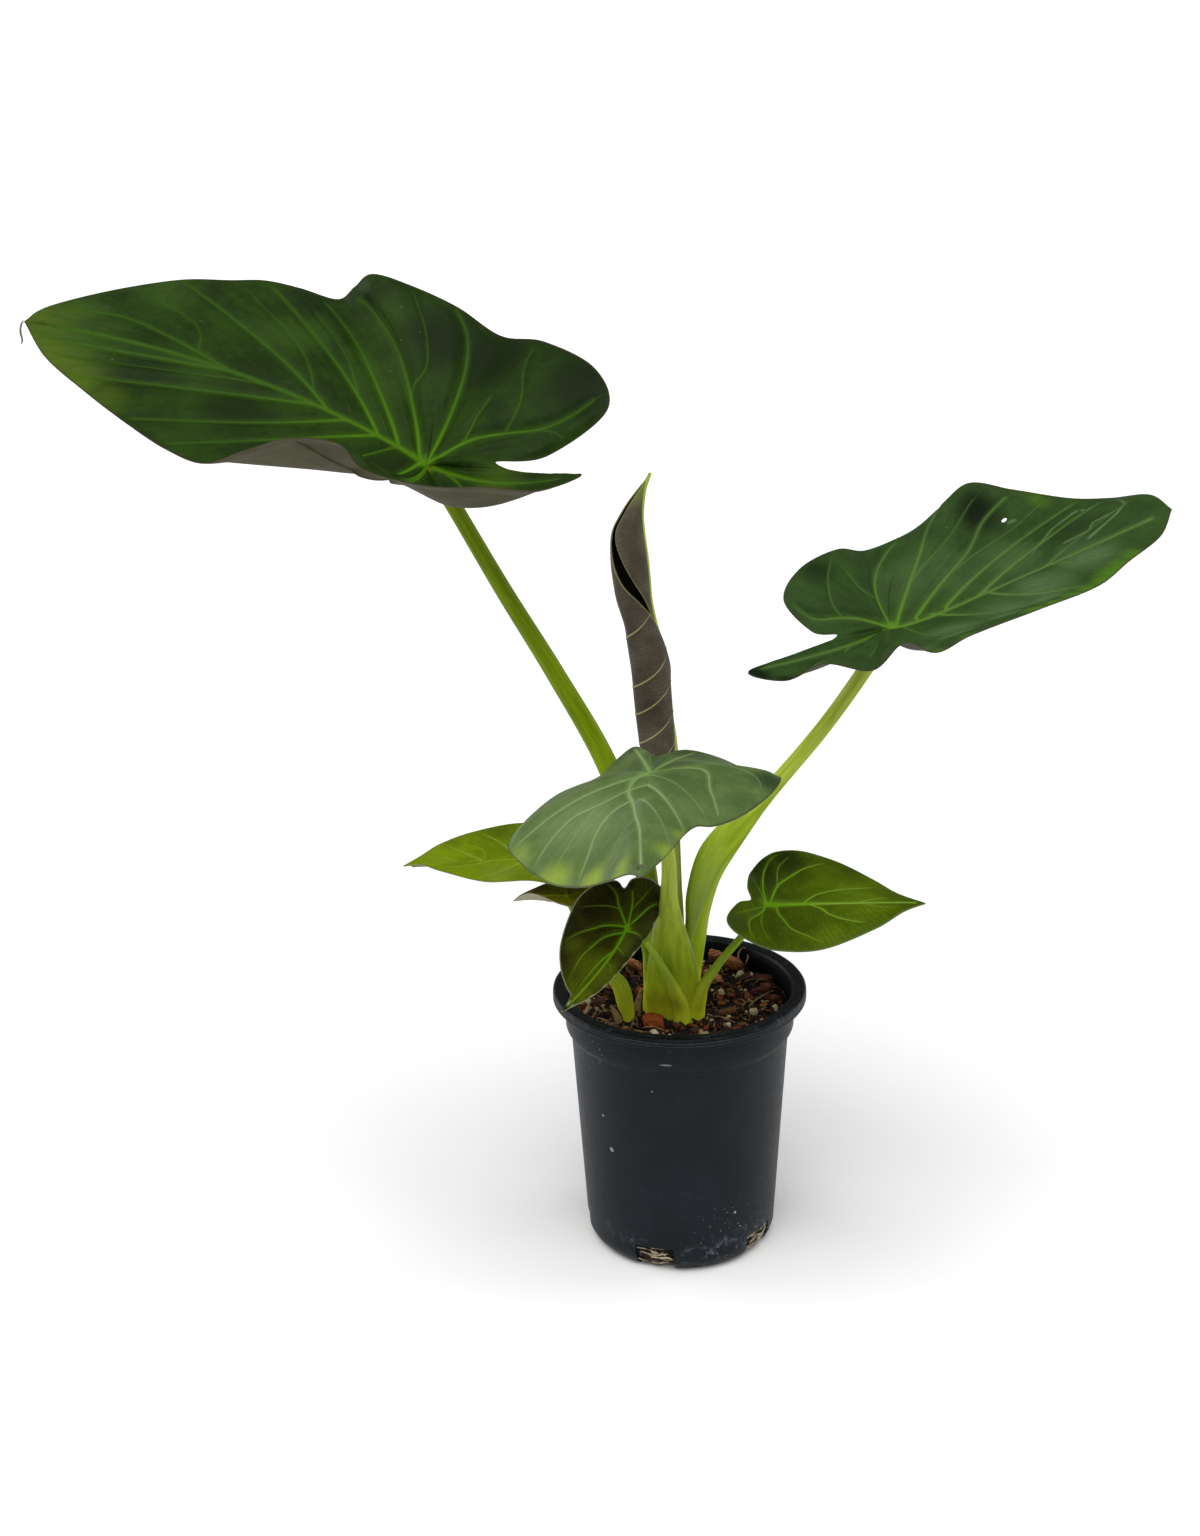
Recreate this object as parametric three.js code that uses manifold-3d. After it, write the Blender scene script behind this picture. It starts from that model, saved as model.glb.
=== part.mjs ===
// Potted alocasia with shield leaves, in a black nursery pot. Millimetres, +Z up.
// The origin is the middle of the pot's underside, and -Y is the front.
import * as THREE from "three";
import { mergeVertices } from "three/addons/utils/BufferGeometryUtils.js";
import Module from "manifold-3d";

const wasm = await Module();
wasm.setup();

// Driving dimensions of the pot, from the trade one-gallon size
const POT_HEIGHT = 179;
const LIP_RADIUS = 82.5;
const LIP_TALL = 7;
const COLLAR_RADIUS = 74.5;
const COLLAR_FOOT = POT_HEIGHT - 26;
const WALL_TOP_RADIUS = 71;
const WALL_TOP = POT_HEIGHT - 30;
const WALL_FOOT_RADIUS = 62.5;
const CORNER_RADIUS = 12;
const WALL = 1.6;
const FLOOR = 2.2;
const LIP_BEVEL = 2;
const POT_SIDES = 48;
const SLOT_COUNT = 5;
const SLOT_FIRST_ANGLE = -108.5;
const SLOT_SPAN = 24;
const SLOT_TALL = 18;
const SLOT_INNER_RADIUS = 50;

// Driving dimensions of the potting mix and of what grows in it
const GAP = 0.4;
const MIX_TOP = 163;
const MIX_ROUND = 3;
const CROWN = [-5, -3];
const CORM_TOP = 150;
const BLADE_THICK = 0.8;
const RIB_THICK = 1.6;

const COLOURS = {
  pot: { color: 0x24272b, roughness: 0.55 },
  mix: { color: 0x2e211b, roughness: 0.95 },
  root: { color: 0xc9b48a, roughness: 0.8 },
  stem: { color: 0x8aa02c, roughness: 0.45 },
  blade: { color: 0x35551f, roughness: 0.4 },
  youngBlade: { color: 0x6a8a22, roughness: 0.42 },
  paleBlade: { color: 0x62823f, roughness: 0.4 },
  darkBlade: { color: 0x1d2a0c, roughness: 0.4 },
  rolledBlade: { color: 0x5d5340, roughness: 0.55 },
  drySheath: { color: 0xa88a5a, roughness: 0.85 },
};

const material = (look) => new THREE.MeshStandardMaterial({ ...look, metalness: 0 });

const object = new THREE.Group();

function addPiece(name, geometry, look) {
  const mesh = new THREE.Mesh(geometry, material(look));
  mesh.name = name;
  object.add(mesh);
  return mesh;
}

// A closed geometry as a manifold solid, and back
function toSolid(geometry) {
  const bare = geometry.index ? geometry.toNonIndexed() : geometry.clone();
  const plain = new THREE.BufferGeometry();
  plain.setAttribute("position", bare.getAttribute("position"));
  const merged = mergeVertices(plain, 1e-4);
  return new wasm.Manifold(
    new wasm.Mesh({
      numProp: 3,
      vertProperties: new Float32Array(merged.attributes.position.array),
      triVerts: new Uint32Array(merged.index.array),
    }),
  );
}

function toGeometry(solid) {
  const mesh = solid.getMesh();
  const geometry = new THREE.BufferGeometry();
  const places = new Float32Array(mesh.numVert * 3);
  for (let i = 0; i < mesh.numVert; i++) {
    places.set(mesh.vertProperties.subarray(i * mesh.numProp, i * mesh.numProp + 3), i * 3);
  }
  geometry.setAttribute("position", new THREE.BufferAttribute(places, 3));
  geometry.setIndex(new THREE.BufferAttribute(new Uint32Array(mesh.triVerts), 1));
  geometry.computeVertexNormals();
  return geometry;
}

// The largest of the bodies that a cut leaves, because slivers are no piece of the plant
const SIMPLER_BY = 0.05;

function largest(solid) {
  const bodies = solid.simplify(SIMPLER_BY).decompose();
  return bodies.reduce((a, b) => (b.volume() > a.volume() ? b : a));
}

const rad = (degrees) => (degrees * Math.PI) / 180;
const polar = (radius, degrees) => [radius * Math.cos(rad(degrees)), radius * Math.sin(rad(degrees))];

// Seeded random numbers from 0 to 1
function seeded(seed) {
  let state = seed;
  return () => {
    state = (state + 0x6d2b79f5) | 0;
    let t = Math.imul(state ^ (state >>> 15), 1 | state);
    t = (t + Math.imul(t ^ (t >>> 7), 61 | t)) ^ t;
    return ((t ^ (t >>> 14)) >>> 0) / 4294967296;
  };
}

// A turned solid about Z from its profile of [radius, height], which runs up the outside
function turned(profile, sides = POT_SIDES) {
  const points = profile.map(([r, z]) => new THREE.Vector2(r, z));
  const geometry = new THREE.LatheGeometry(points, sides);
  geometry.rotateX(Math.PI / 2);
  return toSolid(geometry);
}

// Smooth values through rows whose first number is the place along the run
function smoothRow(rows, at) {
  let i = 0;
  while (i < rows.length - 2 && at >= rows[i + 1][0]) i++;
  const slope = (k) => {
    const a = rows[Math.max(k - 1, 0)];
    const b = rows[Math.min(k + 1, rows.length - 1)];
    return a.map((value, j) => (b[j] - value) / (b[0] - a[0]));
  };
  const [from, to] = [rows[i], rows[i + 1]];
  const [m0, m1] = [slope(i), slope(i + 1)];
  const span = to[0] - from[0];
  const u = (at - from[0]) / span;
  const h00 = 2 * u ** 3 - 3 * u ** 2 + 1;
  const h10 = u ** 3 - 2 * u ** 2 + u;
  const h01 = 3 * u ** 2 - 2 * u ** 3;
  const h11 = u ** 3 - u ** 2;
  return from.map((value, j) => h00 * value + h10 * span * m0[j] + h01 * to[j] + h11 * span * m1[j]);
}

// A closed solid from a grid of indexed corners
function meshSolid(places, faces) {
  return new wasm.Manifold(
    new wasm.Mesh({
      numProp: 3,
      vertProperties: new Float32Array(places),
      triVerts: new Uint32Array(faces),
    }),
  );
}

// A closed solid through rings of points that go round the same way. Each end is closed by strips
// between the two halves of its ring, so a ring may be a crescent.
function loftSolid(rings) {
  const sides = rings[0].length;
  const places = rings.flatMap((ring) => ring.flatMap((p) => [p.x, p.y, p.z]));
  const faces = [];
  for (let i = 0; i < rings.length - 1; i++) {
    for (let j = 0; j < sides; j++) {
      const k = (j + 1) % sides;
      const [a, b] = [i * sides + j, i * sides + k];
      const [c, d] = [a + sides, b + sides];
      faces.push(a, b, d, a, d, c);
    }
  }
  const last = (rings.length - 1) * sides;
  const cap = (a, b, c) => faces.push(a, c, b, last + a, last + b, last + c);
  for (let j = 0; j < sides / 2; j++) {
    const [left, right] = [(sides - j) % sides, sides - j - 1];
    if (j > 0) cap(j, right, left);
    if (j + 1 < sides / 2 || sides % 2) cap(j, j + 1, right);
  }
  return meshSolid(places, faces);
}

// A sheet of triangles on shared points, thickened to both sides with a wall round its edge
function thickened(points, triangles, halfThick) {
  const normals = points.map(() => new THREE.Vector3());
  const [ab, ac] = [new THREE.Vector3(), new THREE.Vector3()];
  for (const [a, b, c] of triangles) {
    ab.subVectors(points[b], points[a]);
    ac.subVectors(points[c], points[a]);
    ab.cross(ac);
    [a, b, c].forEach((i) => normals[i].add(ab));
  }
  normals.forEach((n) => n.normalize());
  const places = [];
  for (const side of [1, -1]) {
    points.forEach((p, i) => {
      const q = p.clone().addScaledVector(normals[i], side * halfThick(i, side));
      places.push(q.x, q.y, q.z);
    });
  }
  const count = points.length;
  const faces = [];
  const edges = new Map();
  for (const [a, b, c] of triangles) {
    faces.push(a, b, c, a + count, c + count, b + count);
    for (const [i, j] of [[a, b], [b, c], [c, a]]) {
      if (edges.has(j + "_" + i)) edges.delete(j + "_" + i);
      else edges.set(i + "_" + j, [i, j]);
    }
  }
  for (const [i, j] of edges.values()) {
    faces.push(i, i + count, j + count, i, j + count, j);
  }
  return meshSolid(places, faces);
}

// Pot: a thin moulded cup with a stepped collar, a turned-down lip and five drain slots
function potProfile() {
  const corner = [0, 30, 60, 90].map((a) => {
    const [x, y] = polar(CORNER_RADIUS, a - 90);
    return [WALL_FOOT_RADIUS - CORNER_RADIUS + x, CORNER_RADIUS + y];
  });
  const innerCorner = [90, 45, 0].map((a) => {
    const [x, y] = polar(CORNER_RADIUS - WALL, a - 90);
    return [WALL_FOOT_RADIUS - CORNER_RADIUS + x, CORNER_RADIUS - WALL + FLOOR + y];
  });
  const lipFoot = POT_HEIGHT - LIP_TALL;
  return [
    [0, 0],
    ...corner,
    [WALL_TOP_RADIUS, WALL_TOP],
    [COLLAR_RADIUS, COLLAR_FOOT],
    [COLLAR_RADIUS, POT_HEIGHT - WALL - 1],
    [LIP_RADIUS - WALL, POT_HEIGHT - WALL - 1],
    [LIP_RADIUS - WALL, lipFoot],
    [LIP_RADIUS, lipFoot],
    [LIP_RADIUS, POT_HEIGHT - LIP_BEVEL],
    [LIP_RADIUS - LIP_BEVEL, POT_HEIGHT],
    [COLLAR_RADIUS - WALL + LIP_BEVEL, POT_HEIGHT],
    [COLLAR_RADIUS - WALL, POT_HEIGHT - LIP_BEVEL],
    [COLLAR_RADIUS - WALL, COLLAR_FOOT - 1],
    [WALL_TOP_RADIUS - WALL, WALL_TOP - 1],
    ...innerCorner,
    [0, FLOOR],
  ];
}

function slotCutter(angle) {
  const rows = [-1, SLOT_TALL].map((z) => {
    const near = [-1, -0.5, 0, 0.5, 1].map((k) => polar(LIP_RADIUS, angle + (k * SLOT_SPAN) / 2));
    const far = [1, -1].map((k) => polar(SLOT_INNER_RADIUS, angle + (k * SLOT_SPAN) / 2));
    return [...near, ...far].map(([x, y]) => new THREE.Vector3(x, y, z));
  });
  return loftSolid(rows);
}

const slotAngles = Array.from({ length: SLOT_COUNT }, (_, i) => SLOT_FIRST_ANGLE + (i * 360) / SLOT_COUNT);
let potSolid = turned(potProfile());
for (const angle of slotAngles) potSolid = potSolid.subtract(slotCutter(angle));

// Blade of a leaf: the midrib runs from the joint to the tip as an arc through one handle, and
// each side is a fan of ribs from the midrib to the margin. A rib is an arc with a belly.
// turn is [heading, pitch, roll] of the midrib in degrees. Points are [forward, left, up] of it.
// A margin row is [vein number, forward, sideways, up, belly], from the notch behind the joint
// round to the tip, and vein numbers that are whole are the main side veins.
const FAN_STEPS = 2;
const VEIN_BOW = 0.14;
const LAST_VEIN_BASE = 0.93;

const leaves = {
  leaf_upper_left: {
    look: COLOURS.blade,
    joint: [-151, 20, 520],
    turn: [166, 14, -20],
    tip: [268, 0, 20],
    handle: [120, 0, 43],
    ribSteps: 8,
    veinStart: 3,
    veinPower: 2.7,
    left: [
      [0, -43, 0, 16, 4],
      [0.5, -72, 12, 22, 0],
      [1, -105, 36, 50, -20],
      [1.5, -88, 62, 50, -42],
      [2, -59, 80, 54, -48],
      [2.5, -32, 90, 52, -36],
      [3, 4, 99, 57, -18],
      [3.5, 20, 100, 70, -28],
      [4, 49, 99, 64, -32],
      [4.5, 77, 98, 46, -24],
      [5, 104, 94, 26, -8],
      [5.5, 132, 86, 22, 2],
      [6, 165, 70, 20, 5],
      [7, 206, 46, 17, 4],
      [8, 243, 22, 15, 3],
      [9, 268, 0, 20, 0],
    ],
    right: [
      [0, -43, 0, 16, 4],
      [0.5, -70, 16, 19, 3],
      [1, -96, 46, 42, 2],
      [1.5, -79, 72, 52, 3],
      [2, -40, 92, 48, 5],
      [2.5, -8, 104, 36, 6],
      [3, 25, 112, 43, 3],
      [3.5, 59, 117, 46, 1],
      [4, 85, 118, 46, 0],
      [4.5, 96, 117, 34, 3],
      [5, 107, 116, 22, 8],
      [5.5, 132, 112, 25, 6],
      [6, 153, 105, 28, 2],
      [6.5, 173, 96, 27, 4],
      [7, 202, 82, 26, 5],
      [7.5, 237, 55, 22, 4],
      [8, 262, 22, 21, 3],
      [9, 268, 0, 20, 0],
    ],
  },
  leaf_upper_right: {
    look: COLOURS.blade,
    joint: [134, 20, 411],
    turn: [14, 18, 25],
    tip: [199, 0, 0],
    handle: [98, 0, -6],
    ribSteps: 8,
    veinStart: 3,
    veinPower: 2.7,
    left: [
      [0, -35, 0, 13, 3],
      [0.5, -47, 12, 12, 2],
      [1, -54, 36, 23, 2],
      [1.5, -34, 54, 25, 3],
      [2, -3, 68, 14, 4],
      [2.5, 19, 76, -5, 6],
      [3, 47, 82, -12, 6],
      [3.5, 62, 84, -11, 4],
      [4, 78, 86, -5, 2],
      [4.5, 100, 86, 6, -4],
      [5, 127, 81, -9, 2],
      [6, 161, 64, -21, 6],
      [7, 181, 46, -17, 5],
      [8, 196, 22, -3, 2],
      [9, 199, 0, 0, 0],
    ],
    right: [
      [0, -35, 0, 13, 3],
      [0.5, -56, 9, 19, 2],
      [1, -104, 30, 46, -8],
      [1.5, -86, 42, 39, -14],
      [2, -66, 58, 57, -8],
      [2.5, -42, 72, 51, -2],
      [3, -24, 80, 71, -6],
      [3.5, -6, 84, 57, -8],
      [4, 16, 83, 58, -11],
      [5, 68, 70, 41, -11],
      [6, 118, 50, 17, -5],
      [7, 149, 34, 9, 0],
      [8, 183, 14, -3, 2],
      [9, 199, 0, 0, 0],
    ],
  },
  leaf_front: {
    look: COLOURS.paleBlade,
    joint: [-19, -86, 355],
    turn: [266, -6, 0],
    tip: [159, 2, 17],
    handle: [87, -4, 13],
    ribSteps: 8,
    veinStart: 3,
    veinPower: 2.7,
    left: [
      [0, -37, 1, -6, 2],
      [0.5, -53, 9, -12, 2],
      [1, -65, 21, -15, 2],
      [1.5, -62, 38, -18, 3],
      [2, -46, 54, -18, 4],
      [2.5, -25, 67, -13, 6],
      [3, 0, 76, -2, 8],
      [3.5, 21, 73, 1, 8],
      [4, 42, 63, 1, 8],
      [4.5, 60, 50, 1, 8],
      [5, 75, 38, 4, 8],
      [5.5, 87, 29, 10, 6],
      [6, 98, 23, 11, 4],
      [7, 117, 17, 12, 4],
      [8, 140, 10, 15, 3],
      [9, 159, 2, 17, 0],
    ],
    right: [
      [0, -37, -1, -6, 2],
      [0.5, -53, 5, -10, 2],
      [1, -67, 14, -14, 2],
      [1.5, -69, 26, -25, 2],
      [2, -58, 36, -31, 2],
      [2.5, -40, 48, -30, 3],
      [3, -17, 63, -27, 5],
      [3.5, 6, 77, -31, 8],
      [4, 29, 83, -34, 12],
      [4.5, 48, 74, -35, 12],
      [5, 65, 63, -34, 12],
      [5.5, 81, 51, -31, 12],
      [6, 96, 36, -24, 10],
      [7, 119, 20, -8, 6],
      [8, 142, 7, 9, 3],
      [9, 159, -2, 17, 0],
    ],
  },
  leaf_low_front: {
    look: COLOURS.darkBlade,
    joint: [-34, -50, 241],
    turn: [284, -68, 0],
    tip: [47, -46, -6],
    handle: [20, -13, 3],
    ribSteps: 6,
    veinStart: 2,
    veinPower: 1.9,
    left: [
      [0, -25, 1, 0, 1],
      [0.5, -30, 7, -2, 1],
      [1, -30, 16, -4, 2],
      [1.5, -25, 24, -6, 2],
      [2, -17, 29, -8, 3],
      [3, -4, 22, -8, 3],
      [3.5, 6, 15, -7, 3],
      [4, 15, 6, -7, 2],
      [5, 31, -12, -7, 2],
      [5.5, 40, -26, -6, 1],
      [6, 47, -46, -6, 0],
    ],
    right: [
      [0, -25, -1, 0, 1],
      [0.5, -30, 3, -2, 1],
      [1, -30, 14, -4, 2],
      [1.5, -24, 25, -7, 3],
      [2, -15, 32, -9, 4],
      [3, 5, 41, -10, 4],
      [4, 21, 43, -9, 3],
      [4.5, 32, 41, -8, 2],
      [5, 38, 39, -7, 1],
      [6, 47, 46, -6, 0],
    ],
  },
  leaf_low_right: {
    look: COLOURS.darkBlade,
    joint: [55, -20, 241],
    turn: [-4, 2, 20],
    tip: [100, 0, -1],
    handle: [53, 0, 1],
    ribSteps: 6,
    veinStart: 2,
    veinPower: 1.9,
    left: [
      [0, -10, 0, 6, 1],
      [0.5, -12, 10, 8, 1],
      [1, -10, 22, 9, 2],
      [2, 4, 40, 9, 3],
      [2.5, 22, 45, 6, 3],
      [3, 45, 43, -2, 3],
      [4, 68, 27, -4, 2],
      [5, 83, 12, -3, 1],
      [6, 100, 0, -1, 0],
    ],
    right: [
      [0, -10, 0, 6, 1],
      [0.5, -18, 7, 10, 1],
      [1, -25, 20, 10, 2],
      [1.5, -21, 30, 8, 2],
      [2, -8, 38, 4, 3],
      [3, 8, 43, 2, 3],
      [4, 35, 41, 1, 3],
      [5, 69, 24, 2, 2],
      [5.5, 86, 10, 2, 1],
      [6, 100, 0, -1, 0],
    ],
  },
  leaf_left: {
    look: COLOURS.youngBlade,
    joint: [-82, 15, 262],
    turn: [177, -3, 8],
    tip: [96, 0, 0],
    handle: [52, 0, 1],
    ribSteps: 6,
    veinStart: 2,
    veinPower: 1.9,
    left: [
      [0, -15, 0, -4, 1],
      [0.5, -26, 8, -5, 1],
      [1, -32, 17, -7, 1],
      [1.5, -26, 26, -10, 1],
      [2, -14, 31, -11, 1],
      [3, 11, 34, -5, 1],
      [4, 40, 31, -5, 1],
      [5, 70, 17, 0, 1],
      [5.5, 84, 6, 2, 1],
      [6, 96, 0, 0, 0],
    ],
    right: [
      [0, -15, 0, -4, 1],
      [0.5, -24, 8, -2, 1],
      [1, -30, 18, 1, 1],
      [1.5, -23, 28, 8, 1],
      [2, -10, 34, 12, 1],
      [3, 21, 38, 16, 2],
      [4, 52, 33, 13, 2],
      [5, 74, 18, 9, 1],
      [5.5, 86, 7, 4, 1],
      [6, 96, 0, 0, 0],
    ],
  },
  leaf_offset: {
    look: COLOURS.darkBlade,
    joint: [-72, -10, 246],
    turn: [186, 0, -8],
    tip: [34, 0, -1],
    handle: [20, 0, 4],
    ribSteps: 5,
    veinStart: 2,
    veinPower: 1.9,
    left: [
      [0, -7, 0, -3, 0],
      [1, -14, 7, -3, -1],
      [2, -6, 13, -1, -2],
      [3, 6, 13, 3, -3],
      [4, 21, 8, 8, -9],
      [5, 29, 4, 5, -6],
      [6, 34, 0, -1, 0],
    ],
    right: [
      [0, -7, 0, -3, 0],
      [1, -17, 8, -1, 0],
      [2, -7, 15, 0, 1],
      [3, 8, 17, 1, 1],
      [4, 20, 12, 0, 1],
      [5, 29, 5, 0, 0],
      [6, 34, 0, -1, 0],
    ],
  },
};

function leafFrame([heading, pitch, roll]) {
  const [h, p] = [rad(heading), rad(pitch)];
  const forward = new THREE.Vector3(Math.cos(h) * Math.cos(p), Math.sin(h) * Math.cos(p), Math.sin(p));
  const left = new THREE.Vector3(-Math.sin(h), Math.cos(h), 0);
  left.applyAxisAngle(forward, rad(roll));
  const up = new THREE.Vector3().crossVectors(forward, left);
  return new THREE.Matrix4().makeBasis(forward, left, up);
}

const alongMidrib = (leaf, m) =>
  leaf.tip.map((end, i) => 2 * m * (1 - m) * leaf.handle[i] + m * m * end);

// The fan of one side: rows of points from the midrib to the margin, one row for each rib
function sideFan(leaf, side) {
  const sign = side === "left" ? 1 : -1;
  const rows = leaf[side];
  const veins = rows.at(-1)[0];
  const other = leaf[side === "left" ? "right" : "left"][1];
  const before = [-other[0], other[1], -other[2], other[3], other[4]];
  const [last, previous] = [rows.at(-1), rows.at(-2)];
  const after = [veins + 1, ...last.slice(1).map((v, i) => 2 * v - previous[i + 1])];
  const margin = [before, ...rows, after];
  const fan = [];
  for (let i = 0; i <= veins * FAN_STEPS; i++) {
    const vein = i / FAN_STEPS;
    const [, forward, sideways, up, belly] = smoothRow(margin, vein);
    const edge = [forward, sign * sideways, up];
    const run = Math.max(0, (vein - leaf.veinStart) / (veins - leaf.veinStart));
    const base = alongMidrib(leaf, LAST_VEIN_BASE * run ** leaf.veinPower);
    const length = Math.hypot(...edge.map((v, k) => v - base[k]));
    const bow = VEIN_BOW * length * Math.min(Math.max((vein - 1.5) / 2, 0), 1);
    const middle = edge.map((v, k) => (v + base[k]) / 2);
    middle[0] -= bow;
    middle[2] += belly;
    const row = [];
    for (let j = 0; j <= leaf.ribSteps; j++) {
      const t = j / leaf.ribSteps;
      row.push(edge.map((v, k) => (1 - t) ** 2 * base[k] + 2 * t * (1 - t) * middle[k] + t * t * v));
    }
    fan.push(row);
  }
  return fan;
}

function bladeSolid(leaf, extra = 0) {
  const frame = leafFrame(leaf.turn);
  const joint = new THREE.Vector3(...leaf.joint);
  const points = [];
  const ribbed = [];
  const seen = new Map();
  const pointAt = (place, step) => {
    const key = place.map((v) => Math.round(v * 50)).join("_");
    if (!seen.has(key)) {
      seen.set(key, points.length);
      points.push(new THREE.Vector3(...place).applyMatrix4(frame).add(joint));
      ribbed.push(step === 0);
    }
    return seen.get(key);
  };
  const triangles = [];
  for (const side of ["left", "right"]) {
    const fan = sideFan(leaf, side).map((row) => row.map((place, j) => pointAt(place, j)));
    for (let i = 0; i < fan.length - 1; i++) {
      for (let j = 0; j < leaf.ribSteps; j++) {
        const [a, b, c, d] = [fan[i][j], fan[i + 1][j], fan[i + 1][j + 1], fan[i][j + 1]];
        const pair = [[a, b, c], [a, c, d]];
        for (const [p, q, r] of pair) {
          if (p === q || q === r || r === p) continue;
          triangles.push(side === "left" ? [p, q, r] : [p, r, q]);
        }
      }
    }
  }
  const half = (i, side) => BLADE_THICK / 2 + extra + (side < 0 && ribbed[i] ? RIB_THICK : 0);
  return thickened(points, triangles, half);
}

// Leaf stalk: rows of [x, y, z, half width, outer depth, inner depth] from the foot up. The section
// is two half ellipses that face outward and inward, and outward is its angle at foot and top.
// A negative inner depth hollows the stalk to a sheath that clasps the stalks inside it, and a row
// with one radius is a round rod.
const SECTION_STEP = 30;
const STALK_FOOT = 150.4;

// A section with room round it. The room of a hollow section is filled up to its lips.
function roomRound([wide, outer, inner], grow) {
  if (grow === 0) return [wide, outer, inner, 0];
  if (inner < 0) return [wide + 3 * grow, outer + grow, 3 * grow, -grow];
  return [wide + grow, outer + grow, inner + grow, 0];
}

function stalkRings(stalk, grow) {
  const rows = stalk.rows.map(([x, y, z, wide, outer = wide, inner = wide], i) =>
    [i, x, y, z, wide, outer, inner],
  );
  const [footTurn, topTurn] = stalk.outward ?? [-90, -90];
  const steps = 2 * (rows.length - 1);
  const path = (k) => new THREE.Vector3(...smoothRow(rows, k).slice(1, 4));
  const rings = [];
  for (let i = 0; i <= steps; i++) {
    const at = (i / steps) * (rows.length - 1);
    const [wide, outer, inner, lip] = roomRound(smoothRow(rows, at).slice(4), grow);
    const along = path(Math.min(at + 0.1, rows.length - 1)).sub(path(Math.max(at - 0.1, 0)));
    along.normalize();
    const facing = new THREE.Vector3(...polar(1, footTurn + ((topTurn - footTurn) * i) / steps), 0);
    const across = new THREE.Vector3().crossVectors(along, facing).normalize();
    const outward = new THREE.Vector3().crossVectors(across, along);
    const centre = path(at);
    const ring = [];
    for (let angle = 0; angle < 360; angle += SECTION_STEP) {
      const [c, s] = polar(1, angle - 90);
      const depth = angle % 180 === 0 ? lip : (angle > 180 ? inner : outer) * c;
      ring.push(centre.clone().addScaledVector(across, wide * s).addScaledVector(outward, depth));
    }
    rings.push(ring);
  }
  return rings;
}

// The foot of every stalk is level, on top of the rootstock
function stalkSolid(stalk, grow = 0) {
  return loftSolid(stalkRings(stalk, grow)).trimByPlane([0, 0, 1], STALK_FOOT - grow);
}

const stalks = {
  leaf_rolled: {
    rows: [
      [-3, 4, 145, 4.6],
      [-1.5, 3, 194, 4.2],
      [-0.5, 3, 223, 3.9],
      [-1.6, 3, 251, 3.7],
      [-2.5, 3, 300, 3.4],
      [-2.5, 3, 336, 3.1],
      [-3.5, 3, 366, 2.9],
      [-5, 3, 390, 2.7],
    ],
  },
  leaf_upper_left: {
    outward: [160, 160],
    rows: [
      [-4, 5, 145, 12, 11, -6.5],
      [-6, 5, 180, 12, 11, -6],
      [-12, 6, 216, 10.5, 9, -1],
      [-18, 7, 245, 8.2, 7.8, 5],
      [-25, 8, 271, 7.3],
      [-45.5, 10.5, 330, 6.8],
      [-76, 13, 388, 6],
      [-107, 16, 442, 5.4],
      [-137, 19, 497, 5],
      [-151, 20, 520, 4.8],
    ],
  },
  leaf_upper_right: {
    outward: [-15, 75],
    rows: [
      [0, 5, 145, 14, 13, -7.5],
      [1, 4, 180, 14, 13, -7],
      [6, 4, 213, 14, 12, -5],
      [9.5, 5, 234, 15, 11.5, -4],
      [19, 7, 260, 14.5, 9.5, -2],
      [36, 8.5, 283, 10.5, 7.5, 2],
      [57, 10, 306, 5.6],
      [91.5, 13.5, 347, 4.9],
      [118.5, 17, 385, 4.8],
      [134, 20, 411, 4.6],
    ],
  },
  leaf_front: {
    outward: [-95, -95],
    rows: [
      [-4, -2, 145, 20, 13, -8],
      [-4, -7, 171, 20, 14, -9],
      [-4.5, -14, 189, 17.4, 13, -7],
      [-5.5, -20, 206, 15, 11, -4.5],
      [-7, -28, 230, 10.5, 8, 0],
      [-7.5, -37, 254, 5.9, 5.6, 4],
      [-8, -50, 287, 4.6],
      [-13.5, -69, 325, 4.4],
      [-19, -86, 355, 4.2],
    ],
  },
  leaf_low_front: {
    rows: [
      [1, -20, 145, 6, 5.5, 5],
      [0.5, -21.5, 170, 5.8, 5, 4],
      [-3, -27, 184, 4.3, 4, 3.5],
      [-8.5, -33, 200, 2.9],
      [-17, -40, 218, 2.4],
      [-23, -45, 230, 2.2],
      [-34, -50, 241, 2.2],
    ],
  },
  leaf_low_right: {
    outward: [-60, -60],
    rows: [
      [10, -16, 145, 6, 5.5, 5],
      [10.5, -18, 167, 5.5, 5, 4],
      [12, -20.5, 177, 4.8, 4.4, 4],
      [15, -22, 188, 3.6],
      [25, -23, 204, 2.7],
      [38, -22, 220, 2.4],
      [55, -20, 241, 2.3],
    ],
  },
  leaf_left: {
    rows: [
      [-18, 13, 145, 3.2],
      [-20, 13, 163, 3],
      [-20.5, 14, 182, 2.7],
      [-22.5, 15, 201, 2.5],
      [-36, 15, 221, 2.4],
      [-58, 15, 242, 2.3],
      [-82, 15, 262, 2.2],
    ],
  },
  leaf_offset: {
    rows: [
      [-33, -17, 145, 3.4],
      [-33.5, -17, 163, 4],
      [-35.5, -16, 173, 5.4],
      [-39, -15, 186, 5.4],
      [-50, -14, 200, 3.4],
      [-62, -12, 224, 2.4],
      [-72, -10, 246, 2],
    ],
  },
};

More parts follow.
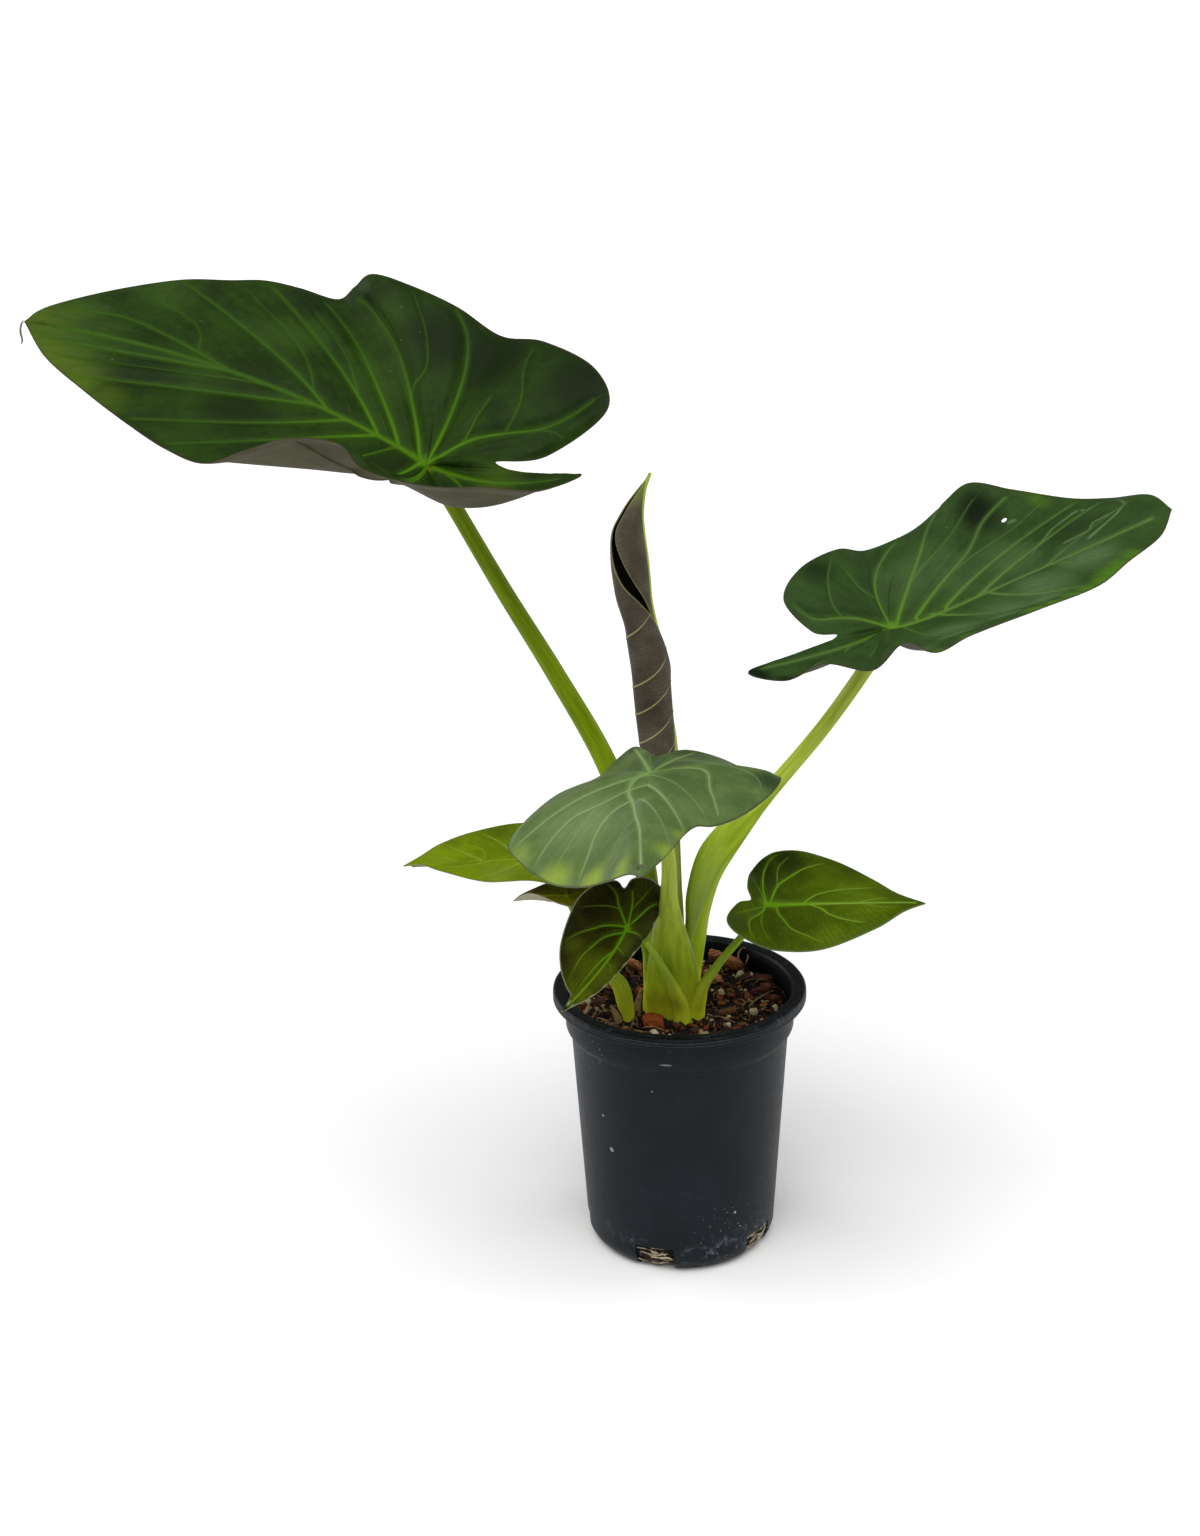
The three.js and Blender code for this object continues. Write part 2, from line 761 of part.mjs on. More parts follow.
// Newest leaf, still rolled: level rows of [height, x, y, radius, inner edge angle, outer edge
// angle]. The midrib is at angle 0, the inner half turns down through the front, and the outer
// half turns up round the back and over the front. The wall spirals out as the angle grows.
const ROLL_TURN_GROWTH = 0.2;
const ROLL_STEPS = 22;
const ROLL_LEVELS = 19;
const rolled = [
  [516, -16.5, 3, 0.8, -40, 40],
  [506, -22, 3, 3.2, -100, 100],
  [492, -26.5, 3, 6.4, -150, 165],
  [480, -29, 3, 9.8, -160, 185],
  [464, -28.5, 3, 11.4, -120, 205],
  [449, -27.2, 3, 11.4, -80, 240],
  [437, -25.8, 3, 10.8, -45, 290],
  [421, -22, 3, 10, -20, 335],
  [408, -19.3, 3, 11, -15, 350],
  [396, -17, 3, 11.6, -10, 350],
  [386, -16, 3, 11.6, 22, 338],
  [372, -15, 3, 11.6, 24, 336],
  [350, -13.2, 3, 11.2, 26, 334],
  [333, -12, 3, 10, 34, 326],
  [322, -11, 3, 8, 60, 300],
];

function rolledSolid(grow = 0) {
  const rows = [...rolled].reverse();
  const [low, high] = [rows[0][0], rows.at(-1)[0]];
  const points = [];
  const at = (i, j) => i * (ROLL_STEPS + 1) + j;
  for (let i = 0; i <= ROLL_LEVELS; i++) {
    const [z, x, y, radius, inner, outer] = smoothRow(rows, low + ((high - low) * i) / ROLL_LEVELS);
    for (let j = 0; j <= ROLL_STEPS; j++) {
      const angle = inner + ((outer - inner) * j) / ROLL_STEPS;
      const spiral = radius * (1 - ROLL_TURN_GROWTH / 2 + (ROLL_TURN_GROWTH * angle) / 360);
      const [dx, dy] = polar(spiral, angle);
      points.push(new THREE.Vector3(x + dx, y + dy, z));
    }
  }
  const triangles = [];
  for (let i = 0; i < ROLL_LEVELS; i++) {
    for (let j = 0; j < ROLL_STEPS; j++) {
      const [a, b, c, d] = [at(i, j), at(i, j + 1), at(i + 1, j + 1), at(i + 1, j)];
      triangles.push([a, b, c], [a, c, d]);
    }
  }
  return thickened(points, triangles, () => BLADE_THICK / 2 + grow);
}

// Round rod through rows of [x, y, z, radius]
const rod = (rows, grow = 0) => loftSolid(stalkRings({ rows }, grow));

// Rootstock: the swollen corm under the crown, with thick roots that run down through the mix
const ROOT_COUNT = 3;
const ROOT_ROWS = [
  [5, 124, 2.4],
  [26, 98, 1.9],
  [38, 62, 1.5],
  [44, 26, 1.1],
];

function rootstockSolid(grow = 0) {
  const profile = [
    [0, 108 - grow],
    [10 + grow, 110 - grow],
    [17 + grow, 122],
    [18 + grow, 138],
    [15 + grow, CORM_TOP + grow],
    [0, CORM_TOP + grow],
  ];
  let solid = turned(profile, 20).translate([...CROWN, 0]);
  for (let i = 0; i < ROOT_COUNT; i++) {
    const angle = 20 + (360 * i) / ROOT_COUNT;
    const rows = ROOT_ROWS.map(([reach, z, radius]) => {
      const [x, y] = polar(reach, angle + (z - 100) / 3);
      return [CROWN[0] + x, CROWN[1] + y, z, radius];
    });
    solid = solid.add(rod(rows, grow));
  }
  return solid;
}

// Offset's dry sheaths: two papery scales that stand in the mix beside the small shoot
const scales = {
  dry_scale_right: [
    [-30, -13, 155, 2.6],
    [-28, -12, 168, 2.4],
    [-25, -12, 181, 0.8],
  ],
  dry_scale_left: [
    [-38, -21, 155, 2.6],
    [-41, -21, 166, 2.4],
    [-45, -21, 174, 0.8],
  ],
};

// The stalks from the heart of the crown outwards: each one is cut clear of those inside it
const nestOrder = [
  "leaf_rolled",
  "leaf_upper_left",
  "leaf_upper_right",
  "leaf_front",
  "leaf_low_front",
  "leaf_low_right",
  "leaf_left",
  "leaf_offset",
];
const placed = [];
const stalkSolids = new Map();
for (const name of nestOrder) {
  let solid = stalkSolid(stalks[name]);
  for (const grown of placed) solid = solid.subtract(grown);
  placed.push(stalkSolid(stalks[name], GAP));
  stalkSolids.set(name, solid);
}
for (const [name, rows] of Object.entries(scales)) {
  let solid = rod(rows);
  for (const grown of placed) solid = solid.subtract(grown);
  placed.push(rod(rows, GAP));
  addPiece(name, toGeometry(largest(solid)), COLOURS.drySheath);
}

// Blades sit on the ends of their stalks, which are cut clear of them
const bladeSolids = new Map();
const grownBlades = new Map();
for (const [name, leaf] of Object.entries(leaves)) {
  bladeSolids.set(name, bladeSolid(leaf));
  grownBlades.set(name, bladeSolid(leaf, GAP));
}
bladeSolids.set("leaf_rolled", rolledSolid());
grownBlades.set("leaf_rolled", rolledSolid(GAP));

for (const name of nestOrder) {
  let solid = stalkSolids.get(name);
  for (const grown of grownBlades.values()) solid = solid.subtract(grown);
  addPiece(name + "_stalk", toGeometry(largest(solid)), COLOURS.stem);
}
for (const [name, solid] of bladeSolids) {
  const look = name === "leaf_rolled" ? COLOURS.rolledBlade : leaves[name].look;
  addPiece(name + "_blade", toGeometry(solid), look);
}
addPiece("rootstock", toGeometry(rootstockSolid()), COLOURS.root);

// Potting mix: fills the pot to 16 mm under the rim, with bark chips and grit that stand out of
// its top, and plain holes for what stands in it. Chip sizes are shares of the chip's length.
const CHIP_COUNT = 34;
const CHIP_WIDTHS = [0.5, 0.8];
const CHIP_DEPTHS = [0.3, 0.55];
const CHIP_LENGTHS = [5, 13];
const CHIP_SKEW = 0.5;
const CHIP_SHEAR = 0.3;
const CHIP_TILT = 0.9;
const CHIP_SINK = 0.3;
const CHIP_REACH = 62;
const CROWN_CLEAR = 28;
const between = ([low, high], share) => low + (high - low) * share;

function chipSolid(random, size) {
  const [wide, deep] = [size * between(CHIP_WIDTHS, random()), size * between(CHIP_DEPTHS, random())];
  const chip = new THREE.BoxGeometry(size, wide, deep);
  const place = chip.getAttribute("position");
  const skew = (random() - 0.5) * CHIP_SKEW;
  for (let i = 0; i < place.count; i++) {
    const [x, y, z] = [place.getX(i), place.getY(i), place.getZ(i)];
    place.setXYZ(i, x * (1 + (skew * y) / size) + CHIP_SHEAR * z, y + skew * x, z);
  }
  chip.rotateX((random() - 0.5) * CHIP_TILT);
  chip.rotateY((random() - 0.5) * CHIP_TILT);
  chip.rotateZ(random() * Math.PI * 2);
  return chip;
}

// Chips that show best on the top: [x, y, length]
const namedChips = [
  [-16, -23, 19],
  [-27, 18, 12],
  [24, 24, 13],
  [36, 20, 14],
  [36, -16, 12],
  [9, -40, 9],
  [46, 34, 9],
];

function mixSolid() {
  const inner = [WALL_FOOT_RADIUS - WALL - GAP, WALL_TOP_RADIUS - WALL - GAP, COLLAR_RADIUS - WALL - GAP];
  const corner = [0, 45, 90].map((a) => {
    const [x, y] = polar(CORNER_RADIUS - WALL - GAP, a - 90);
    return [WALL_FOOT_RADIUS - CORNER_RADIUS + x, CORNER_RADIUS - WALL + FLOOR + y];
  });
  const profile = [
    [0, FLOOR + GAP],
    ...corner,
    [inner[1], WALL_TOP - 1],
    [inner[2], COLLAR_FOOT - 1],
    [inner[2], MIX_TOP - MIX_ROUND],
    [inner[2] - 2 * MIX_ROUND, MIX_TOP - 1],
    [inner[1] - 8 * MIX_ROUND, MIX_TOP],
    [0, MIX_TOP],
  ];
  let solid = turned(profile);
  const random = seeded(20);
  const spots = [...namedChips];
  while (spots.length < CHIP_COUNT) {
    const [x, y] = polar(CHIP_REACH * Math.sqrt(random()), 360 * random());
    const free = Math.hypot(x - CROWN[0], y - CROWN[1]) > CROWN_CLEAR;
    if (free) spots.push([x, y, between(CHIP_LENGTHS, random() ** 2)]);
  }
  const chips = spots.map(([x, y, size]) => {
    const chip = chipSolid(random, size);
    chip.translate(x, y, MIX_TOP - CHIP_SINK + random());
    return toSolid(chip);
  });
  solid = wasm.Manifold.union([solid, ...chips]);
  const holes = [...placed, rootstockSolid(GAP)];
  for (const hole of holes) solid = solid.subtract(hole);
  return largest(solid);
}

addPiece("potting_mix", toGeometry(mixSolid()), COLOURS.mix);
addPiece("pot", toGeometry(potSolid), COLOURS.pot);

export default object;
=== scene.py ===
import math

import bpy
import numpy as np
from mathutils import Matrix, Vector


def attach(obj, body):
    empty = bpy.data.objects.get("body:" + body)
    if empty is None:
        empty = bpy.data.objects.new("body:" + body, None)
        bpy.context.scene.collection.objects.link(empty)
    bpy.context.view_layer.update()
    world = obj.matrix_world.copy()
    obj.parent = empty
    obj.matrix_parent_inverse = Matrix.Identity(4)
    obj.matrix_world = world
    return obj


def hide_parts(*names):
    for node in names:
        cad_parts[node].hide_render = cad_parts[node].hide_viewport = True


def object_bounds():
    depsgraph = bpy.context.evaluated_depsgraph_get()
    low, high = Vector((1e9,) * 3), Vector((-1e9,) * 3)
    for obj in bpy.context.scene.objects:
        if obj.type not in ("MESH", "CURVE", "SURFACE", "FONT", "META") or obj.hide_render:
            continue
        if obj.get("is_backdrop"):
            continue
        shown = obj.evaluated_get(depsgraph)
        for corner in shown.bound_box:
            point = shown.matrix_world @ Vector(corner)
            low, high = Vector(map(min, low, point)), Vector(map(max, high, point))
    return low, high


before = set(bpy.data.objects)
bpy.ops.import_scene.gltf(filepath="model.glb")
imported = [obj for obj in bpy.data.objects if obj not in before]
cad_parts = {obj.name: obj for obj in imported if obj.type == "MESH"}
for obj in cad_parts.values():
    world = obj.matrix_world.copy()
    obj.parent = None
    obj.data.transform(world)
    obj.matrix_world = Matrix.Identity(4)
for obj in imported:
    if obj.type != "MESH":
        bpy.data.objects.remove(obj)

cad_low, cad_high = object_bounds()

# Stage: a plain white floor under the pot, soft light from above, and the camera where the
# photograph was taken from. None of it is part of the plant.
FLOOR_HALF = 400.0
FLOOR_DROP = -0.0004
FLOOR_WHITE = (0.93, 0.93, 0.93, 1.0)
ROOM_LIGHT = 0.2
CAMERA_AIM = Vector((-0.049, 0.0, 0.329))
CAMERA_AWAY = 1.4
CAMERA_TILT = math.radians(19.5)
CAMERA_ROLL = math.radians(-1.1)
CAMERA_LENS = 52.15

# Soft lights: strength, width of the source in the sky, lean from straight down, heading
SOFT_LIGHTS = {
    "light_key": (3.15, 60, 24, -12),
    "light_left": (1.15, 40, 74, -114),
    "light_right": (1.15, 40, 74, 106),
}

floor_mesh = bpy.data.meshes.new("floor")
floor_turns = ((-1, -1), (1, -1), (1, 1), (-1, 1))
floor_corners = [(x * FLOOR_HALF, y * FLOOR_HALF, FLOOR_DROP) for x, y in floor_turns]
floor_mesh.from_pydata(floor_corners, [], [(0, 1, 2, 3)])
floor = bpy.data.objects.new("floor", floor_mesh)
bpy.context.collection.objects.link(floor)
floor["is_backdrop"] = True
floor_paint = bpy.data.materials.new("floor_white")
floor_paint.use_nodes = True
floor_shader = floor_paint.node_tree.nodes["Principled BSDF"]
floor_shader.inputs["Base Color"].default_value = FLOOR_WHITE
floor_shader.inputs["Roughness"].default_value = 0.9
floor_shader.inputs["Specular IOR Level"].default_value = 0.1
floor_mesh.materials.append(floor_paint)

for name, (strength, spread, lean, heading) in SOFT_LIGHTS.items():
    sun = bpy.data.lights.new(name, "SUN")
    sun.energy = strength
    sun.angle = math.radians(spread)
    lamp = bpy.data.objects.new(name, sun)
    lamp.rotation_euler = (math.radians(lean), 0, math.radians(heading))
    bpy.context.collection.objects.link(lamp)

room = bpy.data.worlds.new("room")
room.use_nodes = True
room.node_tree.nodes["Background"].inputs["Color"].default_value = (1.0, 1.0, 1.0, 1.0)
room.node_tree.nodes["Background"].inputs["Strength"].default_value = ROOM_LIGHT
bpy.context.scene.world = room
bpy.context.scene.view_settings.view_transform = "Standard"

camera_data = bpy.data.cameras.new("camera")
camera_data.lens = CAMERA_LENS
camera_data.sensor_width = 36.0
camera_data.clip_end = 2 * FLOOR_HALF
camera = bpy.data.objects.new("camera", camera_data)
camera_back = Vector((0, -math.cos(CAMERA_TILT), math.sin(CAMERA_TILT)))
camera.matrix_world = (
    Matrix.Translation(CAMERA_AIM + CAMERA_AWAY * camera_back)
    @ Matrix.Rotation(math.pi / 2 - CAMERA_TILT, 4, "X")
    @ Matrix.Rotation(CAMERA_ROLL, 4, "Z")
)
bpy.context.collection.objects.link(camera)
bpy.context.scene.camera = camera


# Pot: a thin cup of matt blue-black plastic with a stepped collar, a turned-down lip and five drain
# slots at the corner of the floor. It is moulded in one piece, and is dusty and scuffed from use.
MM = 0.001
POT_HEIGHT = 179
LIP_RADIUS = 82.5
COLLAR_RADIUS = 74.5
COLLAR_FOOT = 153
# Outer faces of the collar from its foot and of the lip from its top, as steps of radius and height
COLLAR_STEPS = ((-3.45, -4.8), (-3.1, -3.7), (-2.2, -2.4), (-1, -1.2), (-0.3, -0.2), (0, 1))
COLLAR_LEVELS = (158, 163, 168, 172, 176.2)
LIP_STEPS = (
    (-1.6, -2.8), (-1.6, -6.8), (-1.3, -7), (-0.3, -7), (0, -6.6), (0, -5.4), (-0.4, -5), (-0.4, -4.7),
    (0, -4.3), (0, -3.3), (-0.35, -2.9), (-0.35, -2.7), (-0.05, -2.3), (-0.2, -1.4), (-0.9, -0.5), (-2, 0),
    (-4.5, 0), (-5.5, -0.2), (-6.6, 0), (-7.9, -0.2), (-9, -1), (-9.6, -2.2),
)
INNER_LEVELS = (170, 163, 157, 152.4)
INNER_STEP = ((72.3, 151), (70.4, 148.9), (69.4, 147.6))
WALL_TOP = 149
WALL_TOP_RADIUS = 71
WALL_FOOT_RADIUS = 62.5
CORNER_RADIUS = 12
CORNER_OUT = WALL_FOOT_RADIUS - CORNER_RADIUS
WALL = 1.6
FLOOR = 2.2
SLOT_COUNT = 5
SLOT_FIRST_ANGLE = -108.5
SLOT_SPAN = 24
SLOT_TALL = 18
SLOT_ROWS = 12
SLOT_INNER_RADIUS = 50
POT_COLUMNS = 240
POT_SHARP = 32
# Marks on the outside: place, size along each axis, strength
POT_MARKS = {
    "scuff": ((-12, -74, 157.5), (5, 4, 0.7), 0.35),
    "speck": ((33, -55, 41), (1.1, 1.1, 1.1), 0.8),
    "grit_a": ((-51, -45, 108), (1.6, 1.6, 1.1), 0.55),
    "grit_b": ((-46, -48.5, 85), (2.2, 2.2, 2.2), 0.5),
    "grit_c": ((-20, -67, 136), (0.9, 0.9, 0.9), 0.5),
}


def shade(code):
    """Linear colour of a six-digit screen colour: each part p becomes ((p + 0.055) / 1.055)^2.4,
    or p / 12.92 where it is very dark."""
    parts = np.array([int(code[k:k + 2], 16) / 255 for k in (0, 2, 4)])
    linear = np.where(parts <= 0.04045, parts / 12.92, ((parts + 0.055) / 1.055) ** 2.4)
    return (*map(float, linear), 1.0)


class Wire:
    """One socket in an expression of the shader. An operator on wires or numbers adds its Math
    node, and node() adds any other kind."""

    def __init__(self, tree, socket=None):
        self.tree = tree
        self.socket = socket

    def feed(self, socket, value):
        if isinstance(value, Wire):
            self.tree.links.new(value.socket, socket)
        else:
            socket.default_value = value

    def node(self, kind, settings, values, out=0):
        made = self.tree.nodes.new(kind)
        for key, value in settings.items():
            setattr(made, key, value)
        for key, value in values.items():
            self.feed(made.inputs[key], value)
        return Wire(self.tree, made.outputs[out])

    def math(self, operation, *values):
        return self.node("ShaderNodeMath", {"operation": operation}, dict(enumerate(values)))

    def __add__(self, other):
        return self.math("ADD", self, other)

    def __radd__(self, other):
        return self.math("ADD", other, self)

    def __sub__(self, other):
        return self.math("SUBTRACT", self, other)

    def __rsub__(self, other):
        return self.math("SUBTRACT", other, self)

    def __mul__(self, other):
        return self.math("MULTIPLY", self, other)

    def __rmul__(self, other):
        return self.math("MULTIPLY", other, self)

    def most(self, other):
        return self.math("MAXIMUM", self, other)

    def wave(self):
        return self.math("SINE", self)

    def size(self):
        return self.math("ABSOLUTE", self)

    def step(self, low, high):
        """Smooth step: 0 at low and 1 at high, also where high is the smaller one."""
        bounds = {"Value": self, "From Min": low, "From Max": high}
        return self.node("ShaderNodeMapRange", {"interpolation_type": "SMOOTHSTEP"}, bounds)

    def blend(self, first, second):
        """Colour that goes from first to second as this value goes from 0 to 1."""
        return self.node("ShaderNodeMix", {"data_type": "RGBA"}, {0: self, 6: first, 7: second}, 2)

    def times(self, colour):
        """This value or colour times a colour, part by part."""
        return self.node("ShaderNodeMix", {"data_type": "RGBA", "blend_type": "MULTIPLY"},
                         {0: 1.0, 6: self, 7: colour}, 2)

    def stretch(self, scale):
        return self.node("ShaderNodeVectorMath", {"operation": "MULTIPLY"}, {0: self, 1: scale})

    def away(self, spot):
        """Distance from a spot."""
        return self.node("ShaderNodeVectorMath", {"operation": "DISTANCE"}, {0: self, 1: spot}, "Value")

    def parts(self):
        first = self.node("ShaderNodeSeparateXYZ", {}, {0: self})
        return [Wire(self.tree, out) for out in first.socket.node.outputs]

    def place(self):
        return self.node("ShaderNodeTexCoord", {}, {}, "Object")

    def fact(self, name):
        return self.node("ShaderNodeAttribute", {"attribute_name": name}, {}, "Vector")

    def noise(self, scale, detail=2.0, rough=0.5):
        values = {"Vector": self, "Scale": scale, "Detail": detail, "Roughness": rough}
        return self.node("ShaderNodeTexNoise", {}, values)

    def cells(self, scale, out="Distance"):
        return self.node("ShaderNodeTexVoronoi", {}, {"Vector": self, "Scale": scale}, out)

    def relief(self, depth, strength=1.0):
        """Bump whose height is this value and whose full depth is in metres."""
        values = {"Height": self, "Distance": depth, "Strength": strength}
        return self.node("ShaderNodeBump", {}, values)


def finish(name, paint, **fixed):
    """Material on one Principled shader: paint gives the sockets that vary, fixed the others."""
    made = bpy.data.materials.new(name)
    made.use_nodes = True
    shader = made.node_tree.nodes["Principled BSDF"]
    start = Wire(made.node_tree)
    for socket, value in {**fixed, **paint(start)}.items():
        start.feed(shader.inputs[socket.replace("_", " ")], value)
    return made


def weld(points, quads):
    """Triangles of a grid of quads after equal points are made one. A triangle that a pole or a
    seam squeezed to a line is left out. Also gives the first row of each kept point."""
    rounded = np.round(points, 3) + 0.0
    _, first, into = np.unique(rounded, axis=0, return_index=True, return_inverse=True)
    into = into.reshape(-1)[quads]
    triangles = np.concatenate([into[:, [0, 1, 2]], into[:, [0, 2, 3]]])
    a, b, c = triangles.T
    return first, triangles[(a != b) & (b != c) & (c != a)]


def grid_quads(rows, columns, wrap=False):
    """Quads of a grid whose points are numbered row by row. Along a column and then along a row
    is anticlockwise seen from outside."""
    across = columns if wrap else columns - 1
    i, j = np.meshgrid(np.arange(rows - 1), np.arange(across), indexing="ij")
    k = (j + 1) % columns
    corners = [i * columns + j, i * columns + k, (i + 1) * columns + k, (i + 1) * columns + j]
    return np.stack(corners, axis=-1).reshape(-1, 4)


def piece(name, points, faces, paint, node=None, facts=None, sharp=None, flat=False):
    """Mesh object from points in millimetres and faces of one size, riding on the plant's body.
    facts holds the values at the points that its material reads."""
    mesh = bpy.data.meshes.new(name)
    count, size = faces.shape
    mesh.vertices.add(len(points))
    mesh.vertices.foreach_set("co", (points * MM).astype(np.float32).ravel())
    mesh.loops.add(faces.size)
    mesh.loops.foreach_set("vertex_index", faces.astype(np.int32).ravel())
    mesh.polygons.add(count)
    mesh.polygons.foreach_set("loop_start", np.arange(0, faces.size, size, dtype=np.int32))
    mesh.update(calc_edges=True)
    mesh.polygons.foreach_set("use_smooth", np.full(count, not flat))
    if sharp is not None:
        mesh.set_sharp_from_angle(angle=math.radians(sharp))
    for key, values in (facts or {}).items():
        held = mesh.attributes.new(key, "FLOAT_VECTOR", "POINT")
        held.data.foreach_set("vector", np.asarray(values, np.float32).ravel())
    mesh.materials.append(paint)
    made = bpy.data.objects.new(name, mesh)
    bpy.context.collection.objects.link(made)
    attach(made, "root")
    if node:
        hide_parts(node)
    return made


def arc(radius, centre, start, end, count):
    """Points on a circle in the pot's section, by angles in degrees from the outward direction."""
    angle = np.radians(np.linspace(start, end, count))
    return np.stack([centre[0] + radius * np.cos(angle), centre[1] + radius * np.sin(angle)], axis=1)


def wall_at(height, inward):
    """Point of the sloping wall at a height, inward from its outer face."""
    rise = (height - CORNER_RADIUS) / (WALL_TOP - CORNER_RADIUS)
    return WALL_FOOT_RADIUS + (WALL_TOP_RADIUS - WALL_FOOT_RADIUS) * rise - inward, height


def pot_section():
    """Closed section of the pot from the middle of its underside, up the outside, over the lip and
    down the inside. Also gives the rows that a drain slot takes out, outside and inside."""
    corner = (CORNER_OUT, CORNER_RADIUS)
    inside = CORNER_RADIUS - WALL
    inner = (corner[0], inside + FLOOR)
    slot_out = [(SLOT_INNER_RADIUS, 0), *arc(CORNER_RADIUS, corner, -90, 0, SLOT_ROWS), wall_at(SLOT_TALL, 0)]
    slot_in = [wall_at(SLOT_TALL, WALL), *arc(inside, inner, 0, -90, SLOT_ROWS), (SLOT_INNER_RADIUS, FLOOR)]
    wall = [wall_at(z, 0) for z in np.linspace(SLOT_TALL + 4, WALL_TOP - 2, 24)]
    collar = [(COLLAR_RADIUS + r, COLLAR_FOOT + z) for r, z in COLLAR_STEPS]
    collar += [(COLLAR_RADIUS, z) for z in COLLAR_LEVELS]
    lip = [(LIP_RADIUS + r, POT_HEIGHT + z) for r, z in LIP_STEPS]
    down = [(COLLAR_RADIUS - WALL, z) for z in INNER_LEVELS] + list(INNER_STEP)
    down += [wall_at(z, WALL) for z in np.linspace(WALL_TOP - 5, SLOT_TALL + 4, 14)]
    runs = [[(0, 0), (25, 0)], slot_out, wall, collar, lip, down, slot_in, [(25, FLOOR), (0, FLOOR)]]
    starts = np.cumsum([0] + [len(run) for run in runs])
    return np.concatenate(runs), np.arange(starts[1], starts[2]), np.arange(starts[6], starts[7])


def turned(section, columns, first_angle=0.0):
    """Points of a section of (radius, height) carried round the Z axis, row by row."""
    angle = np.radians(first_angle + 360 * np.arange(columns) / columns)
    radius, height = section[:, :1], section[:, 1:]
    return np.stack([radius * np.cos(angle), radius * np.sin(angle), height + 0 * angle], axis=-1)


def pot_faces(rows, slot_out, slot_in):
    """Quads of the turned section without the slots, and the cut walls round each slot."""
    quads = grid_quads(rows, POT_COLUMNS, wrap=True)
    row, column = quads[:, 0] // POT_COLUMNS, quads[:, 0] % POT_COLUMNS
    step = POT_COLUMNS // SLOT_COUNT
    wide = round(SLOT_SPAN * POT_COLUMNS / 360)
    in_slot = (column % step) < wide
    cut = np.isin(row, slot_out[:-1]) | np.isin(row, slot_in[:-1])
    quads = quads[~(in_slot & cut)]
    match = slot_in[::-1]
    out_a, out_b, in_a, in_b = slot_out[:-1], slot_out[1:], match[:-1], match[1:]
    walls = []
    for k in range(SLOT_COUNT):
        left, right = k * step, k * step + wide
        walls.append(np.stack([out_a, in_a, in_b, out_b], axis=1) * POT_COLUMNS + left)
        walls.append(np.stack([out_a, out_b, in_b, in_a], axis=1) * POT_COLUMNS + right)
        i = np.arange(left, right)
        near_out, near_in = slot_out[0] * POT_COLUMNS, match[0] * POT_COLUMNS
        far_out, far_in = slot_out[-1] * POT_COLUMNS, match[-1] * POT_COLUMNS
        walls.append(np.stack([near_out + i, near_out + i + 1, near_in + i + 1, near_in + i], axis=1))
        walls.append(np.stack([far_out + i, far_in + i, far_in + i + 1, far_out + i + 1], axis=1))
    return np.concatenate([quads, *walls])


def pot_paint(start):
    """Blue-black plastic with cloudy dust, white grit, scuffs near the foot and named marks."""
    place = start.place()
    height = place.parts()[2]
    cloud = place.noise(26, 4)
    dust = place.noise(170, 5, 0.65)
    base = cloud.step(0.3, 0.7).blend(shade("0d1318"), shade("121920"))
    # Painted shade: from the collar up, the plastic is painted darker than the wall below.
    base = (height.step(0.150, 0.172) * 0.85).blend(base, shade("05080c"))
    foot = height.step(0.03, 0.018) * height.step(0.004, 0.012) * 0.5
    foot = foot * dust.step(0.46, 0.7) * cloud.step(0.4, 0.6)
    lip = height.step(0.1725, 0.1765) * dust.step(0.52, 0.72) * 0.22
    film = dust.step(0.55, 0.8) * cloud.step(0.45, 0.7) * 0.16
    base = foot.most(lip).most(film).blend(base, shade("6b767d"))
    # Painted highlight: thin lighter lines on the lip's two ridges, for the light they catch.
    ridge_highlights = (height - 0.1762).size().step(0.0005, 0.0001).most((height - 0.1741).size().step(0.0004, 0.0001))
    base = (ridge_highlights * 0.4).blend(base, shade("4a5359"))
    across = place.stretch((1, 1, 0)).away((0, 0, 0))
    # Painted shade: the inner wall above the mix and the inner part of the lip's top are painted near black.
    base = (across.step(0.0736, 0.0726) * height.step(0.150, 0.158)).blend(base, shade("04070a"))
    base = (height.step(0.1768, 0.1775) * across.step(0.0790, 0.0770) * 0.6).blend(base, shade("04070a"))
    # Painted shade: a dark band on the rounded foot of the collar's step and the wall just under it.
    collar_step_shade = height.step(0.1450, 0.1490) * height.step(0.1545, 0.1525)
    base = (collar_step_shade * 0.85).blend(base, shade("030508"))
    grit = place.cells(330).step(0.16, 0.07) * place.noise(12, 2).step(0.52, 0.66)
    base = (grit * 0.5).blend(base, shade("b9b7ad"))
    for spot, size, strength in POT_MARKS.values():
        spot, size = np.array(spot), np.array(size)
        near = place.stretch(tuple(1 / (MM * size))).away(tuple(spot / size))
        mark = (near + dust * 0.9).step(1.45, 0.9) * strength
        base = mark.blend(base, shade("aeb3b3"))
    rough = 0.36 + 0.2 * dust + 0.2 * foot
    skin = (place.noise(900, 3) + 0.6 * cloud).relief(0.00012, 0.5)
    return {"Base_Color": base, "Roughness": rough, "Normal": skin}


section, slot_out, slot_in = pot_section()
pot_points = turned(section, POT_COLUMNS, SLOT_FIRST_ANGLE - SLOT_SPAN / 2).reshape(-1, 3)
first, pot_triangles = weld(pot_points, pot_faces(len(section), slot_out, slot_in))
pot_plastic = finish("pot_plastic", pot_paint, Specular_IOR_Level=0.14)
piece("nursery_pot", pot_points[first], pot_triangles, pot_plastic, "pot", sharp=POT_SHARP)


# Potting mix: a bed of fine dark bark and peat that fills the pot to 16 mm under the lip, with a
# lumpy top. It is poured in loose and pressed by hand, and the pot gives it its sides.
MIX_TOP = 162.4
MIX_FLOOR = 2.7
MIX_GAP = 0.5
MIX_RINGS = 64
MIX_COLUMNS = 288
LUMP_SIZES = ((44, 1.2), (21, 0.9), (11, 0.6), (6, 0.4))
LUMP_WAVES = 7


